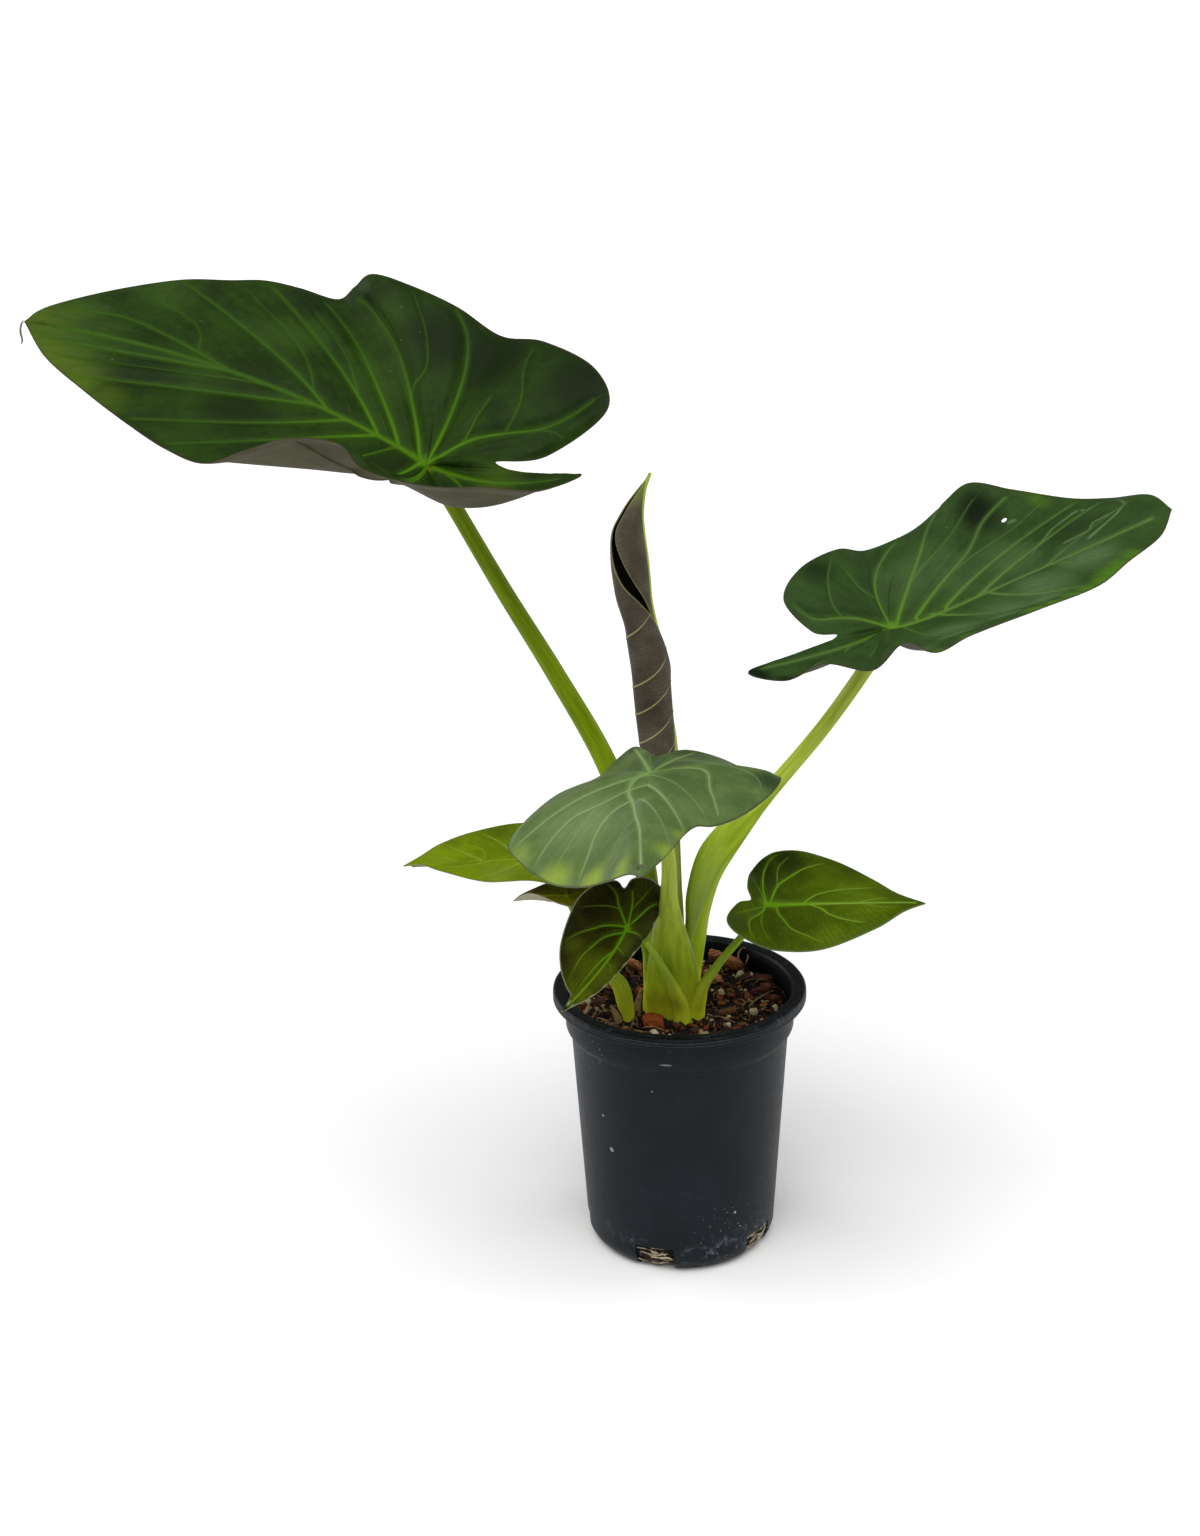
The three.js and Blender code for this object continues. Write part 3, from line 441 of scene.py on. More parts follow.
def bed_height(x, y):
    """Height of the mix: a level plus, for each lump size, waves of that length in seeded
    directions, and a slight rise towards the back."""
    draw = np.random.default_rng(31)
    height = MIX_TOP + 0 * x + 0.03 * y * (y > 0)
    for length, tall in LUMP_SIZES:
        headings = draw.uniform(0, math.pi, LUMP_WAVES)
        shifts = draw.uniform(0, 2 * math.pi, LUMP_WAVES)
        for turn, shift in zip(headings, shifts):
            along = x * math.cos(turn) + y * math.sin(turn)
            height = height + tall / LUMP_WAVES ** 0.5 * np.sin(2 * math.pi * along / length + shift)
    return height


def bed_paint(start):
    """Dark crumbs: brown and black cells with fine grain, deep enough to throw shade."""
    place = start.place()
    crumb = place.cells(420, "Color").parts()[0]
    grain = place.noise(1300, 4, 0.6)
    base = crumb.step(0.2, 0.95).blend(shade("0d0805"), shade("2a180f"))
    base = (crumb.step(0.86, 0.95) * 0.7).blend(base, shade("6d4a31"))
    base = (grain.step(0.62, 0.75) * 0.5).blend(base, shade("8a6f55"))
    height = place.cells(420).step(0.0, 0.8) + 0.5 * grain
    return {"Base_Color": base, "Roughness": 0.8 + 0.15 * grain, "Normal": height.relief(0.0022, 0.9)}


top_radius = COLLAR_RADIUS - WALL - MIX_GAP
bed_rings = np.stack([top_radius * np.linspace(0, 1, MIX_RINGS) ** 0.9, np.full(MIX_RINGS, MIX_TOP)], axis=1)
bed_corner = arc(CORNER_RADIUS - WALL - MIX_GAP, (CORNER_OUT, CORNER_RADIUS - WALL + FLOOR), 0, -90, 7)
bed_sides = [(top_radius, 156), (top_radius, 152.2), (68.9, 147.4), (64.7, 80)]
bed_section = np.concatenate([bed_rings, bed_sides, bed_corner, [(25, MIX_FLOOR), (0, MIX_FLOOR)]])[::-1]
bed_points = turned(bed_section, MIX_COLUMNS).reshape(-1, 3)
on_top = bed_points[:, 2] > MIX_TOP - 0.01
bed_points[on_top, 2] = bed_height(bed_points[on_top, 0], bed_points[on_top, 1])
first, bed_triangles = weld(bed_points, grid_quads(len(bed_section), MIX_COLUMNS, wrap=True))
bark_mix = finish("bark_mix", bed_paint, Specular_IOR_Level=0.25)
piece("mix_bed", bed_points[first], bed_triangles, bark_mix, "potting_mix")


# Loose bark, grit and fibres on the mix: chips of pine bark that are split and broken, crumbs of it,
# pale grains of perlite, and thin dead roots. They lie as they fell, half sunk in the bed.
CROWN_SPOT = (-5, -8)
CROWN_CLEAR = 21
BARK_TONES = ("120a06", "28140c", "46230f", "6e3617", "93501f", "b4733a", "d0ae7e", "1a0e08")
BARK_ODDS = (0.17, 0.15, 0.17, 0.14, 0.11, 0.09, 0.1, 0.07)
GRIT_TONES = ("cdc3a6", "bcae88", "a3916a")
GRIT_ODDS = (0.45, 0.35, 0.2)
GRIT_COUNT = 60
FIBRE_COUNT = 110
FIBRE_REACH = 66
BED_REACH = 70

# Chips that show best: x, y, sink, length, width, thickness, turn, tilt, colour
BIG_CHIPS = [
    (-17, -27.5, 0.5, 15, 11, 8, 10, 20, "d46c2a"),
    (-29, 50, -5, 15, 10, 6, 70, 40, "e0985a"),
    (37, 50, -5, 17, 10, 7, 25, 30, "cc8450"),
    (27, 58, -8, 12, 10, 6, 80, 50, "c4825c"),
    (24, 34, -2, 13, 12, 5, 15, 28, "cc8e60"),
    (57, 36, 0, 13, 8, 5, 160, 8, "6b342a"),
    (55, 19, 0.5, 15, 7, 5, 175, 12, "6e3226"),
    (62, 8, 0, 12, 7, 4, 120, 12, "7c4028"),
    (30, -11, 0, 15, 7, 3, 170, 16, "8a5d2e"),
    (-24, 20, 0, 12, 8, 6, 60, 24, "c0743a"),
    (-52, 8, 0, 12, 7, 4, 100, 10, "5c3b2a"),
    (9, -40, 1, 9, 6, 4, 40, 12, "4b2b1c"),
    (44, -32, 0.5, 10, 6, 4, 140, 12, "6a4029"),
    (-45, -27, 0.5, 10, 7, 4, 120, 15, "8d7257"),
    (46, 34, 0, 9, 7, 4, 60, 15, "5b3020"),
    (16, 46, 0, 12, 8, 5, 35, 22, "7d452b"),
]
# Grains of perlite that show best: x, y, size
BIG_GRAINS = [
    (42, 41, 6.2), (28, 14, 5.6), (14.5, -49, 5.2), (47, -18, 5.4), (30, -33, 3.4), (-17.5, -48, 4.4),
    (-8, -50, 4.8), (-44, -37, 5), (-25, 23, 4.6), (62, -8, 4.2), (-60, 5, 4.6), (-26, -41, 3.2),
    (55, -30, 3),
]
# Dead roots and straw: points of x, y and height over the bed, then the radius
FIBRES = [
    ([(44, -7, 1.5), (50, 0, 3), (57, 8, 3.6), (64, 17, 2)], 0.75),
    ([(46, 50, 4), (49, 55, 10), (46, 57, 14), (42, 55, 11), (43, 50, 5)], 0.8),
    ([(-34, -38, 1), (-31, -33, 6), (-27, -30, 2)], 0.5),
    ([(-38, -30, 1.5), (-30, -36, 2.4), (-20, -37, 1.5)], 0.5),
    ([(-26, -31, 2), (-19, -36, 5), (-10, -38, 2)], 0.45),
    ([(20, -20, 1), (26, -26, 3), (35, -27, 1)], 0.4),
    ([(-55, -20, 1), (-50, -26, 3), (-42, -30, 1)], 0.45),
    ([(50, 24, 1), (56, 28, 3.5), (66, 27, 1)], 0.4),
]


def block(per_side):
    """Closed cube of per_side by per_side quads a face, with its points pushed out to a rounded
    block: each part p of a point becomes p / (|x|^4 + |y|^4 + |z|^4)^(1/4) after the cube's grid."""
    line = np.linspace(-1, 1, per_side + 1)
    v, u = np.meshgrid(line, line, indexing="ij")
    sheets, one = [], np.ones_like(u)
    for axis in range(3):
        for side in (1, -1):
            parts = [None, None, None]
            parts[axis] = side * one
            parts[(axis + 1) % 3] = u * side
            parts[(axis + 2) % 3] = v
            sheets.append(np.stack(parts, axis=-1).reshape(-1, 3))
    points = np.concatenate(sheets)
    side_quads = grid_quads(per_side + 1, per_side + 1)
    quads = np.concatenate([side_quads + k * (per_side + 1) ** 2 for k in range(6)])
    first, triangles = weld(points, quads)
    points = points[first]
    return points / (np.abs(points) ** 4).sum(axis=1, keepdims=True) ** 0.25, triangles


def turns(yaw, pitch, roll):
    """Rotation matrices, one for each set of angles in degrees: roll about X, then pitch about Y,
    then yaw about Z."""
    angles = np.radians(np.array([yaw, pitch, roll], float))
    (cz, cy, cx), (sz, sy, sx) = np.cos(angles), np.sin(angles)
    rows = [
        [cz * cy, cz * sy * sx - sz * cx, cz * sy * cx + sz * sx],
        [sz * cy, sz * sy * sx + cz * cx, sz * sy * cx - cz * sx],
        [-sy, cy * sx, cy * cx],
    ]
    return np.moveaxis(np.array(rows), (0, 1), (-2, -1))


def scatter(name, shape, spots, sizes, angles, tones, jitter, paint, seed, flat=True):
    """Many copies of one small block as a single mesh: each is scaled, knocked out of shape by
    seeded shifts, turned, and put on its spot. tone is its colour and grain its own coordinates."""
    points, triangles = shape
    draw = np.random.default_rng(seed)
    count = len(spots)
    local = points[None] * (1 + jitter * draw.uniform(-1, 1, (count, len(points), 3)))
    local = local * sizes[:, None, :] / 2
    world = np.einsum("nij,nkj->nki", turns(*angles), local) + spots[:, None, :]
    faces = triangles[None] + (np.arange(count) * len(points))[:, None, None]
    colours = np.repeat(np.array([shade(tone)[:3] for tone in tones]), len(points), axis=0)
    grain = (local + np.arange(count)[:, None, None] * 7.3).reshape(-1, 3)
    facts = {"tone": colours, "grain": grain}
    return piece(name, world.reshape(-1, 3), faces.reshape(-1, 3), paint, facts=facts, flat=flat)


def bark_paint(start):
    """Split bark: its own tone, darker and lighter in streaks along the chip, over flaky relief."""
    tone = start.fact("tone")
    streak = start.fact("grain").stretch((0.25, 1.4, 1.4)).noise(1.6, 4, 0.65)
    flake = start.fact("grain").noise(0.7, 3)
    base = streak.step(0.3, 0.7).blend(shade("6f6a66"), shade("ffffff"))
    base = base.times(tone)
    base = (flake.step(0.62, 0.74) * 0.4).blend(base, shade("2a1710"))
    return {"Base_Color": base, "Roughness": 0.62 + 0.3 * streak, "Normal": streak.relief(0.0008, 0.8)}


def grit_paint(start):
    """Perlite: dull cream grains, pitted, and stained by the mix on some sides."""
    place = start.place()
    stain = place.noise(260, 3)
    base = stain.step(0.5, 0.75).blend(start.fact("tone"), shade("8b7752"))
    pits = place.cells(1500).relief(0.0004, 0.8)
    return {"Base_Color": base, "Roughness": 0.75 + 0.2 * stain, "Normal": pits}


def loose_spots(draw, count, reach):
    """Seeded places on the bed, even over the area of a disc, kept off the crown of the plant."""
    angle = draw.uniform(0, 2 * math.pi, 3 * count)
    radius = reach * np.sqrt(draw.uniform(0, 1, 3 * count))
    x, y = radius * np.cos(angle), radius * np.sin(angle)
    free = np.hypot(x - CROWN_SPOT[0], y - CROWN_SPOT[1]) > CROWN_CLEAR
    return x[free][:count], y[free][:count]


bark_wood = finish("bark_chips", bark_paint, Specular_IOR_Level=0.3)
perlite = finish("perlite", grit_paint, Specular_IOR_Level=0.3)

x, y, sink, length, width, thick, turn, tilt = np.array([chip[:-1] for chip in BIG_CHIPS], float).T
spots = np.stack([x, y, bed_height(x, y) + thick / 2 - sink - 1], axis=1)
sizes = np.stack([length, width, thick], axis=1)
angles = (turn, tilt, tilt / 3)
tones = [chip[-1] for chip in BIG_CHIPS]
scatter("bark_chips_large", block(5), spots, sizes, angles, tones, 0.13, bark_wood, 5)

for name, seed, count, reach, smallest, spread in (
    ("bark_chips_small", 8, 420, 68, 3.6, 6.0),
    ("bark_crumbs", 9, 2400, 70.5, 1.4, 2.2),
):
    draw = np.random.default_rng(seed)
    x, y = loose_spots(draw, count, reach)
    length = smallest + spread * draw.uniform(0, 1, count) ** 2
    shares = [np.ones(count), draw.uniform(0.3, 0.7, count), draw.uniform(0.12, 0.35, count)]
    sizes = length[:, None] * np.stack(shares, axis=1)
    spots = np.stack([x, y, bed_height(x, y) + length * draw.uniform(-0.05, 0.25, count)], axis=1)
    angles = (draw.uniform(0, 360, count), draw.uniform(-40, 40, count), draw.uniform(-40, 40, count))
    tones = draw.choice(BARK_TONES, count, p=BARK_ODDS)
    scatter(name, block(2), spots, sizes, angles, tones, 0.32, bark_wood, seed + 20)

draw = np.random.default_rng(12)
x, y = loose_spots(draw, GRIT_COUNT, BED_REACH)
big_x, big_y, big_size = np.array(BIG_GRAINS).T
grain_size = np.concatenate([big_size, draw.uniform(1.2, 3.0, len(x))])
x, y = np.concatenate([big_x, x]), np.concatenate([big_y, y])
sizes = grain_size[:, None] * draw.uniform(0.75, 1.05, (len(x), 3))
spots = np.stack([x, y, bed_height(x, y) + 0.35 * grain_size], axis=1)
angles = draw.uniform(0, 360, (3, len(x)))
tones = draw.choice(GRIT_TONES, len(x), p=GRIT_ODDS)
scatter("perlite_grains", block(3), spots, sizes, angles, tones, 0.12, perlite, 33)


def hermite(rows, at):
    """Smooth values through rows whose first number is their place: between two rows the cubic
    that meets both, with each slope taken between the neighbours on its two sides."""
    rows = np.asarray(rows, float)
    at = np.atleast_1d(np.asarray(at, float))
    last = len(rows) - 1
    before, after = np.maximum(np.arange(last + 1) - 1, 0), np.minimum(np.arange(last + 1) + 1, last)
    slope = (rows[after] - rows[before]) / (rows[after, 0] - rows[before, 0])[:, None]
    i = np.clip(np.searchsorted(rows[:, 0], at, side="right") - 1, 0, last - 1)
    span = (rows[i + 1, 0] - rows[i, 0])[:, None]
    u = (at[:, None] - rows[i, :1]) / span
    return (
        (2 * u**3 - 3 * u**2 + 1) * rows[i] + (u**3 - 2 * u**2 + u) * span * slope[i]
        + (3 * u**2 - 2 * u**3) * rows[i + 1] + (u**3 - u**2) * span * slope[i + 1]
    )


def strand(points, radius, steps, sides):
    """Tube round the smooth line through the points, tapered at its ends to a point: the centre
    plus the radius times a circle square to the line."""
    rows = np.column_stack([np.arange(len(points)), points])
    at = np.linspace(0, len(points) - 1, steps)
    centre = hermite(rows, at)[:, 1:]
    along = np.gradient(centre, axis=0)
    along /= np.linalg.norm(along, axis=1, keepdims=True)
    across = np.cross(along, (0.3, 0.2, 1.0))
    across /= np.linalg.norm(across, axis=1, keepdims=True)
    outward = np.cross(across, along)
    size = radius * np.sin(np.linspace(0, math.pi, steps)) ** 0.35
    angle = 2 * math.pi * np.arange(sides) / sides
    ring = np.cos(angle)[:, None] * across[:, None] + np.sin(angle)[:, None] * outward[:, None]
    return (centre[:, None] + size[:, None, None] * ring).reshape(-1, 3)


def strands(name, lines, paint, steps, sides):
    """Several strands as one mesh."""
    tubes = [strand(points, radius, steps, sides) for points, radius in lines]
    quads = grid_quads(steps, sides, wrap=True)
    faces = np.concatenate([quads + k * steps * sides for k in range(len(lines))])
    points = np.concatenate(tubes)
    first, triangles = weld(points, faces)
    return piece(name, points[first], triangles, paint)


def fibre_paint(start):
    """Dead root or straw: tan, blotched grey-brown."""
    place = start.place()
    blotch = place.noise(220, 3)
    base = blotch.step(0.35, 0.7).blend(shade("a98f66"), shade("5f4a35"))
    return {"Base_Color": base, "Roughness": 0.7 + 0.2 * blotch, "Normal": blotch.relief(0.0005, 0.6)}


root_fibre = finish("dead_root", fibre_paint, Specular_IOR_Level=0.3)
fibre_lines = []
for points, radius in FIBRES:
    line = np.array(points, float)
    line[:, 2] += bed_height(line[:, 0], line[:, 1])
    fibre_lines.append((line, radius))
draw = np.random.default_rng(17)
x, y = loose_spots(draw, FIBRE_COUNT, FIBRE_REACH)
for k in range(len(x)):
    turn, length = draw.uniform(0, 2 * math.pi), draw.uniform(5, 12)
    bend = draw.uniform(-2, 2)
    ends = np.array([(-length / 2, 0), (0, bend), (length / 2, 0)])
    turned_by = np.array([(math.cos(turn), math.sin(turn)), (-math.sin(turn), math.cos(turn))])
    line = np.array([x[k], y[k]]) + ends @ turned_by
    line = line * np.minimum(1, BED_REACH / np.hypot(*line.T))[:, None]
    lift = bed_height(line[:, 0], line[:, 1]) + np.array([0.2, 1.4, 0.3])
    fibre_lines.append((np.column_stack([line, lift]), draw.uniform(0.2, 0.38)))
strands("dead_roots", fibre_lines, root_fibre, 12, 6)


# Roots in the drain slots: pale living roots that have run round the floor of the pot. They lie
# against the inside of each slot, with dark mix behind them.
DRAIN_ROOTS = 20


def young_root_paint(start):
    """Living root: cream, with browner lengths."""
    place = start.place()
    blotch = place.noise(160, 3)
    base = blotch.step(0.38, 0.66).blend(shade("b5aa8e"), shade("4f4232"))
    return {"Base_Color": base, "Roughness": 0.55 + 0.2 * blotch, "Normal": blotch.relief(0.0004, 0.5)}


young_root = finish("living_root", young_root_paint, Specular_IOR_Level=0.35)
drain_lines = []
draw = np.random.default_rng(23)
for k in range(SLOT_COUNT):
    middle = SLOT_FIRST_ANGLE + k * 360 / SLOT_COUNT
    for _ in range(DRAIN_ROOTS):
        spread = np.linspace(-1, 1, 5) * draw.uniform(5, 13) + draw.uniform(-8, 8)
        angle = np.radians(middle + spread)
        height = np.clip(draw.uniform(2.2, SLOT_TALL) + np.cumsum(draw.uniform(-2.5, 2.5, 5)), 1.8, SLOT_TALL)
        depth = CORNER_RADIUS - 1 - draw.uniform(0, 2.4)
        drop = np.clip((CORNER_RADIUS - height) / depth, 0, 0.98)
        radius = CORNER_OUT + depth * np.sqrt(1 - drop**2)
        line = np.column_stack([radius * np.cos(angle), radius * np.sin(angle), height])
        drain_lines.append((line, draw.uniform(0.3, 0.75)))
strands("drain_roots", drain_lines, young_root, 14, 6)


# Rootstock: the corm and its thick roots inside the mix, which nothing shows from outside. It keeps
# its solid, with the same skin as a root.
corm_skin = finish("corm_skin", young_root_paint, Specular_IOR_Level=0.3)
corm_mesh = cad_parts["rootstock"].data
corm_mesh.materials.clear()
corm_mesh.materials.append(corm_skin)


# Leaf blades: grown sheets of one thickness, stiffened by a midrib and side veins that are sunk in
# the upper face and stand out below. The tissue between two veins is blown up a little.
BLADE_HALF = 0.4
VEIN_BOW = 0.14
LAST_VEIN_BASE = 0.93
PINCH = 0.1
VEIN_DEEP = 0.55
RIB_DEEP = 0.6
RIDGE_FADE = 8
CLOSE = 20
BLADE_SHARP = 70

# A blade has its joint on the stalk, the turn of its midrib as heading, pitch and roll, its tip, the
# handle that bends the midrib, and for each side rows of vein number, forward, sideways, up and belly,
# from the notch round to the tip. Veins up to start leave at the joint, and power crowds the next
# ones towards it. columns are the steps from vein to vein, and rungs those from midrib to margin.
LEAVES = {
    "upper_left": {
        "joint": (-151, 20, 520), "turn": (166, 14, -20), "tip": (268, 0, 20), "handle": (120, 0, 43),
        "start": 3, "power": 2.7, "columns": 36, "rungs": 60,
        "left": [
            (0, -43, 0, 16, 4), (0.5, -72, 12, 22, 0), (1, -105, 36, 50, -20), (1.5, -88, 62, 50, -42),
            (2, -59, 80, 54, -48), (2.5, -32, 90, 52, -36), (3, 4, 99, 57, -18), (3.5, 20, 100, 70, -28),
            (4, 49, 99, 64, -32), (4.5, 77, 98, 46, -24), (5, 104, 94, 26, -8), (5.5, 132, 86, 22, 2),
            (6, 165, 70, 20, 5), (7, 206, 46, 17, 4), (8, 243, 22, 15, 3), (9, 268, 0, 20, 0),
        ],
        "right": [
            (0, -43, 0, 16, 4), (0.5, -70, 16, 19, 3), (1, -96, 46, 42, 2), (1.5, -79, 72, 52, 3),
            (2, -40, 92, 48, 5), (2.5, -8, 104, 36, 6), (3, 25, 112, 43, 3), (3.5, 59, 117, 46, 1),
            (4, 85, 118, 46, 0), (4.5, 96, 117, 34, 3), (5, 107, 116, 22, 8), (5.5, 132, 112, 25, 6),
            (6, 153, 105, 28, 2), (6.5, 173, 96, 27, 4), (7, 202, 82, 26, 5), (7.5, 237, 55, 22, 4),
            (8, 262, 22, 21, 3), (9, 268, 0, 20, 0),
        ],
    },
    "upper_right": {
        "joint": (134, 20, 411), "turn": (14, 18, 25), "tip": (199, 0, 0), "handle": (98, 0, -6),
        "start": 3, "power": 2.7, "columns": 34, "rungs": 56,
        "left": [
            (0, -35, 0, 13, 3), (0.5, -47, 12, 12, 2), (1, -54, 36, 23, 2), (1.5, -34, 54, 25, 3),
            (2, -3, 68, 14, 4), (2.5, 19, 76, -5, 6), (3, 47, 82, -12, 6), (3.5, 62, 84, -11, 4),
            (4, 78, 86, -5, 2), (4.5, 100, 86, 6, -4), (5, 127, 81, -9, 2), (6, 161, 64, -21, 6),
            (7, 181, 46, -17, 5), (8, 196, 22, -3, 2), (9, 199, 0, 0, 0),
        ],
        "right": [
            (0, -35, 0, 13, 3), (0.5, -56, 9, 19, 2), (1, -104, 30, 46, -8), (1.5, -86, 42, 39, -14),
            (2, -66, 58, 57, -8), (2.5, -42, 72, 51, -2), (3, -24, 80, 71, -6), (3.5, -6, 84, 57, -8),
            (4, 16, 83, 58, -11), (5, 68, 70, 41, -11), (6, 118, 50, 17, -5), (7, 149, 34, 9, 0),
            (8, 183, 14, -3, 2), (9, 199, 0, 0, 0),
        ],
    },
    "front": {
        "joint": (-19, -86, 355), "turn": (266, -6, 0), "tip": (159, 2, 17), "handle": (87, -4, 13),
        "start": 3, "power": 2.7, "columns": 28, "rungs": 52,
        "left": [
            (0, -37, 1, -6, 2), (0.5, -53, 9, -12, 2), (1, -65, 21, -15, 2), (1.5, -62, 38, -18, 3),
            (2, -46, 54, -18, 4), (2.5, -25, 67, -13, 6), (3, 0, 76, -2, 8), (3.5, 21, 73, 1, 8),
            (4, 42, 63, 1, 8), (4.5, 60, 50, 1, 8), (5, 75, 38, 4, 8), (5.5, 87, 29, 10, 6),
            (6, 98, 23, 11, 4), (7, 117, 17, 12, 4), (8, 140, 10, 15, 3), (9, 159, 2, 17, 0),
        ],
        "right": [
            (0, -37, -1, -6, 2), (0.5, -53, 5, -10, 2), (1, -67, 14, -14, 2), (1.5, -69, 26, -25, 2),
            (2, -58, 36, -31, 2), (2.5, -40, 48, -30, 3), (3, -17, 63, -27, 5), (3.5, 6, 77, -31, 8),
            (4, 29, 83, -34, 12), (4.5, 48, 74, -35, 12), (5, 65, 63, -34, 12), (5.5, 81, 51, -31, 12),
            (6, 96, 36, -24, 10), (7, 119, 20, -8, 6), (8, 142, 7, 9, 3), (9, 159, -2, 17, 0),
        ],
    },
    "low_front": {
        "joint": (-34, -50, 241), "turn": (284, -68, 0), "tip": (47, -46, -6), "handle": (20, -13, 3),
        "start": 2, "power": 1.9, "columns": 30, "rungs": 44,
        "left": [
            (0, -25, 1, 0, 1), (0.5, -30, 7, -2, 1), (1, -30, 16, -4, 2), (1.5, -25, 24, -6, 2),
            (2, -17, 29, -8, 3), (3, -4, 22, -8, 3), (3.5, 6, 15, -7, 3), (4, 15, 6, -7, 2),
            (5, 31, -12, -7, 2), (5.5, 40, -26, -6, 1), (6, 47, -46, -6, 0),
        ],
        "right": [
            (0, -25, -1, 0, 1), (0.5, -30, 3, -2, 1), (1, -30, 14, -4, 2), (1.5, -24, 25, -7, 3),
            (2, -15, 32, -9, 4), (3, 5, 41, -10, 4), (4, 21, 43, -9, 3), (4.5, 32, 41, -8, 2),
            (5, 38, 39, -7, 1), (6, 47, 46, -6, 0),
        ],
    },
    "low_right": {
        "joint": (55, -20, 241), "turn": (-4, 2, 20), "tip": (100, 0, -1), "handle": (53, 0, 1),
        "start": 2, "power": 1.9, "columns": 30, "rungs": 44,
        "left": [
            (0, -10, 0, 6, 1), (0.5, -12, 10, 8, 1), (1, -10, 22, 9, 2), (2, 4, 40, 9, 3),
            (2.5, 22, 45, 6, 3), (3, 45, 43, -2, 3), (4, 68, 27, -4, 2), (5, 83, 12, -3, 1),
            (6, 100, 0, -1, 0),
        ],
        "right": [
            (0, -10, 0, 6, 1), (0.5, -18, 7, 10, 1), (1, -25, 20, 10, 2), (1.5, -21, 30, 8, 2),
            (2, -8, 38, 4, 3), (3, 8, 43, 2, 3), (4, 35, 41, 1, 3), (5, 69, 24, 2, 2), (5.5, 86, 10, 2, 1),
            (6, 100, 0, -1, 0),
        ],
    },
    "left": {
        "joint": (-82, 15, 262), "turn": (177, -3, 8), "tip": (96, 0, 0), "handle": (52, 0, 1),
        "start": 2, "power": 1.9, "columns": 30, "rungs": 44,
        "left": [
            (0, -15, 0, -4, 1), (0.5, -26, 8, -5, 1), (1, -32, 17, -7, 1), (1.5, -26, 26, -10, 1),
            (2, -14, 31, -11, 1), (3, 11, 34, -5, 1), (4, 40, 31, -5, 1), (5, 70, 17, 0, 1),
            (5.5, 84, 6, 2, 1), (6, 96, 0, 0, 0),
        ],
        "right": [
            (0, -15, 0, -4, 1), (0.5, -24, 8, -2, 1), (1, -30, 18, 1, 1), (1.5, -23, 28, 8, 1),
            (2, -10, 34, 12, 1), (3, 21, 38, 16, 2), (4, 52, 33, 13, 2), (5, 74, 18, 9, 1),
            (5.5, 86, 7, 4, 1), (6, 96, 0, 0, 0),
        ],
    },
    "offset": {
        "joint": (-72, -10, 246), "turn": (186, 0, -8), "tip": (34, 0, -1), "handle": (20, 0, 4),
        "start": 2, "power": 1.9, "columns": 16, "rungs": 24,
        "left": [
            (0, -7, 0, -3, 0), (1, -14, 7, -3, -1), (2, -6, 13, -1, -2), (3, 6, 13, 3, -3),
            (4, 21, 8, 8, -9), (5, 29, 4, 5, -6), (6, 34, 0, -1, 0),
        ],
        "right": [
            (0, -7, 0, -3, 0), (1, -17, 8, -1, 0), (2, -7, 15, 0, 1), (3, 8, 17, 1, 1), (4, 20, 12, 0, 1),
            (5, 29, 5, 0, 0), (6, 34, 0, -1, 0),
        ],
    },
}

# Looks of each blade, in the order of LOOK_TONES and LOOK_SIZES: tissue, patches, veins, glow round the
# joint, margin line and lower face. Then how far the glow goes, how wide the veins are, how much the
# tissue swells between them, its fine lines and shine, and how far the midrib strays.
LOOK_TONES = "dark light deep pale yellow halo vein glow edge under under_light under_vein"
LOOK_SIZES = "glow_reach hub vein_half rib_half vein_show puff puff_reach stria stria_show gloss sheen drift"
LOOKS = {
    "upper_left": (
        "1b2c0b 253b0d 101c08 405a20 526816 30500a 345418 4c7808 3a3024 3e3b28 4e4b38 5a5a38",
        120, 10, 1.7, 4.8, 0.85, 2.2, 9, 30, 0.1, 0.42, 0.05, 0,
    ),
    "upper_right": (
        "283c19 30481d 0e1c08 5c754c 456c16 405c24 56743c 56801e 3c3c2c 3d3c2e 4b493a 5f6644",
        80, 8, 1.6, 4.6, 0.74, 1.8, 8, 30, 0.1, 0.42, 0.05, 0.1,
    ),
    "front": (
        "495d2f 586d3a 2c3e20 728659 8ca41c 667d4c 859c66 6d8e48 303c22 4b4a3a 5a5848 6c7350",
        50, 6, 1.3, 2.9, 0.85, 1.5, 6, 26, 0.08, 0.4, 0.12, 0.24,
    ),
    "low_front": (
        "1e1c02 363a02 120f02 98a080 566404 4c5c04 7ca414 64a804 8c9068 8c9076 a0a38a 848f60",
        45, 3, 0.85, 2.2, 0.8, 0.8, 3.5, 40, 0.14, 0.42, 0.05, 0,
    ),
    "low_right": (
        "3c4e04 4f6604 1a2402 54683a 6c8812 587610 88ac3c 6ca40c 5c6c3c 6c6e4c 7c7e5c 86925a",
        60, 4, 0.8, 4.0, 0.92, 0.8, 4, 64, 0.17, 0.42, 0.05, 0,
    ),
    "left": (
        "667c06 7c900c 47580a 6c7f2c 7c9410 7c9418 93aa3c 90b028 65761a 7a7e5e 888c6a 949e6a",
        40, 3, 0.9, 1.6, 0.75, 0.7, 4, 30, 0.08, 0.42, 0.05, 0,
    ),
    "offset": (
        "645c02 7c7802 2c2404 a39d80 76800c 555a12 98a42c 94b020 8c8a6c 9a9680 aca892 a4a684",
        20, 2, 0.6, 1.7, 0.8, 0.4, 3, 30, 0.08, 0.42, 0.05, 0,
    ),
}

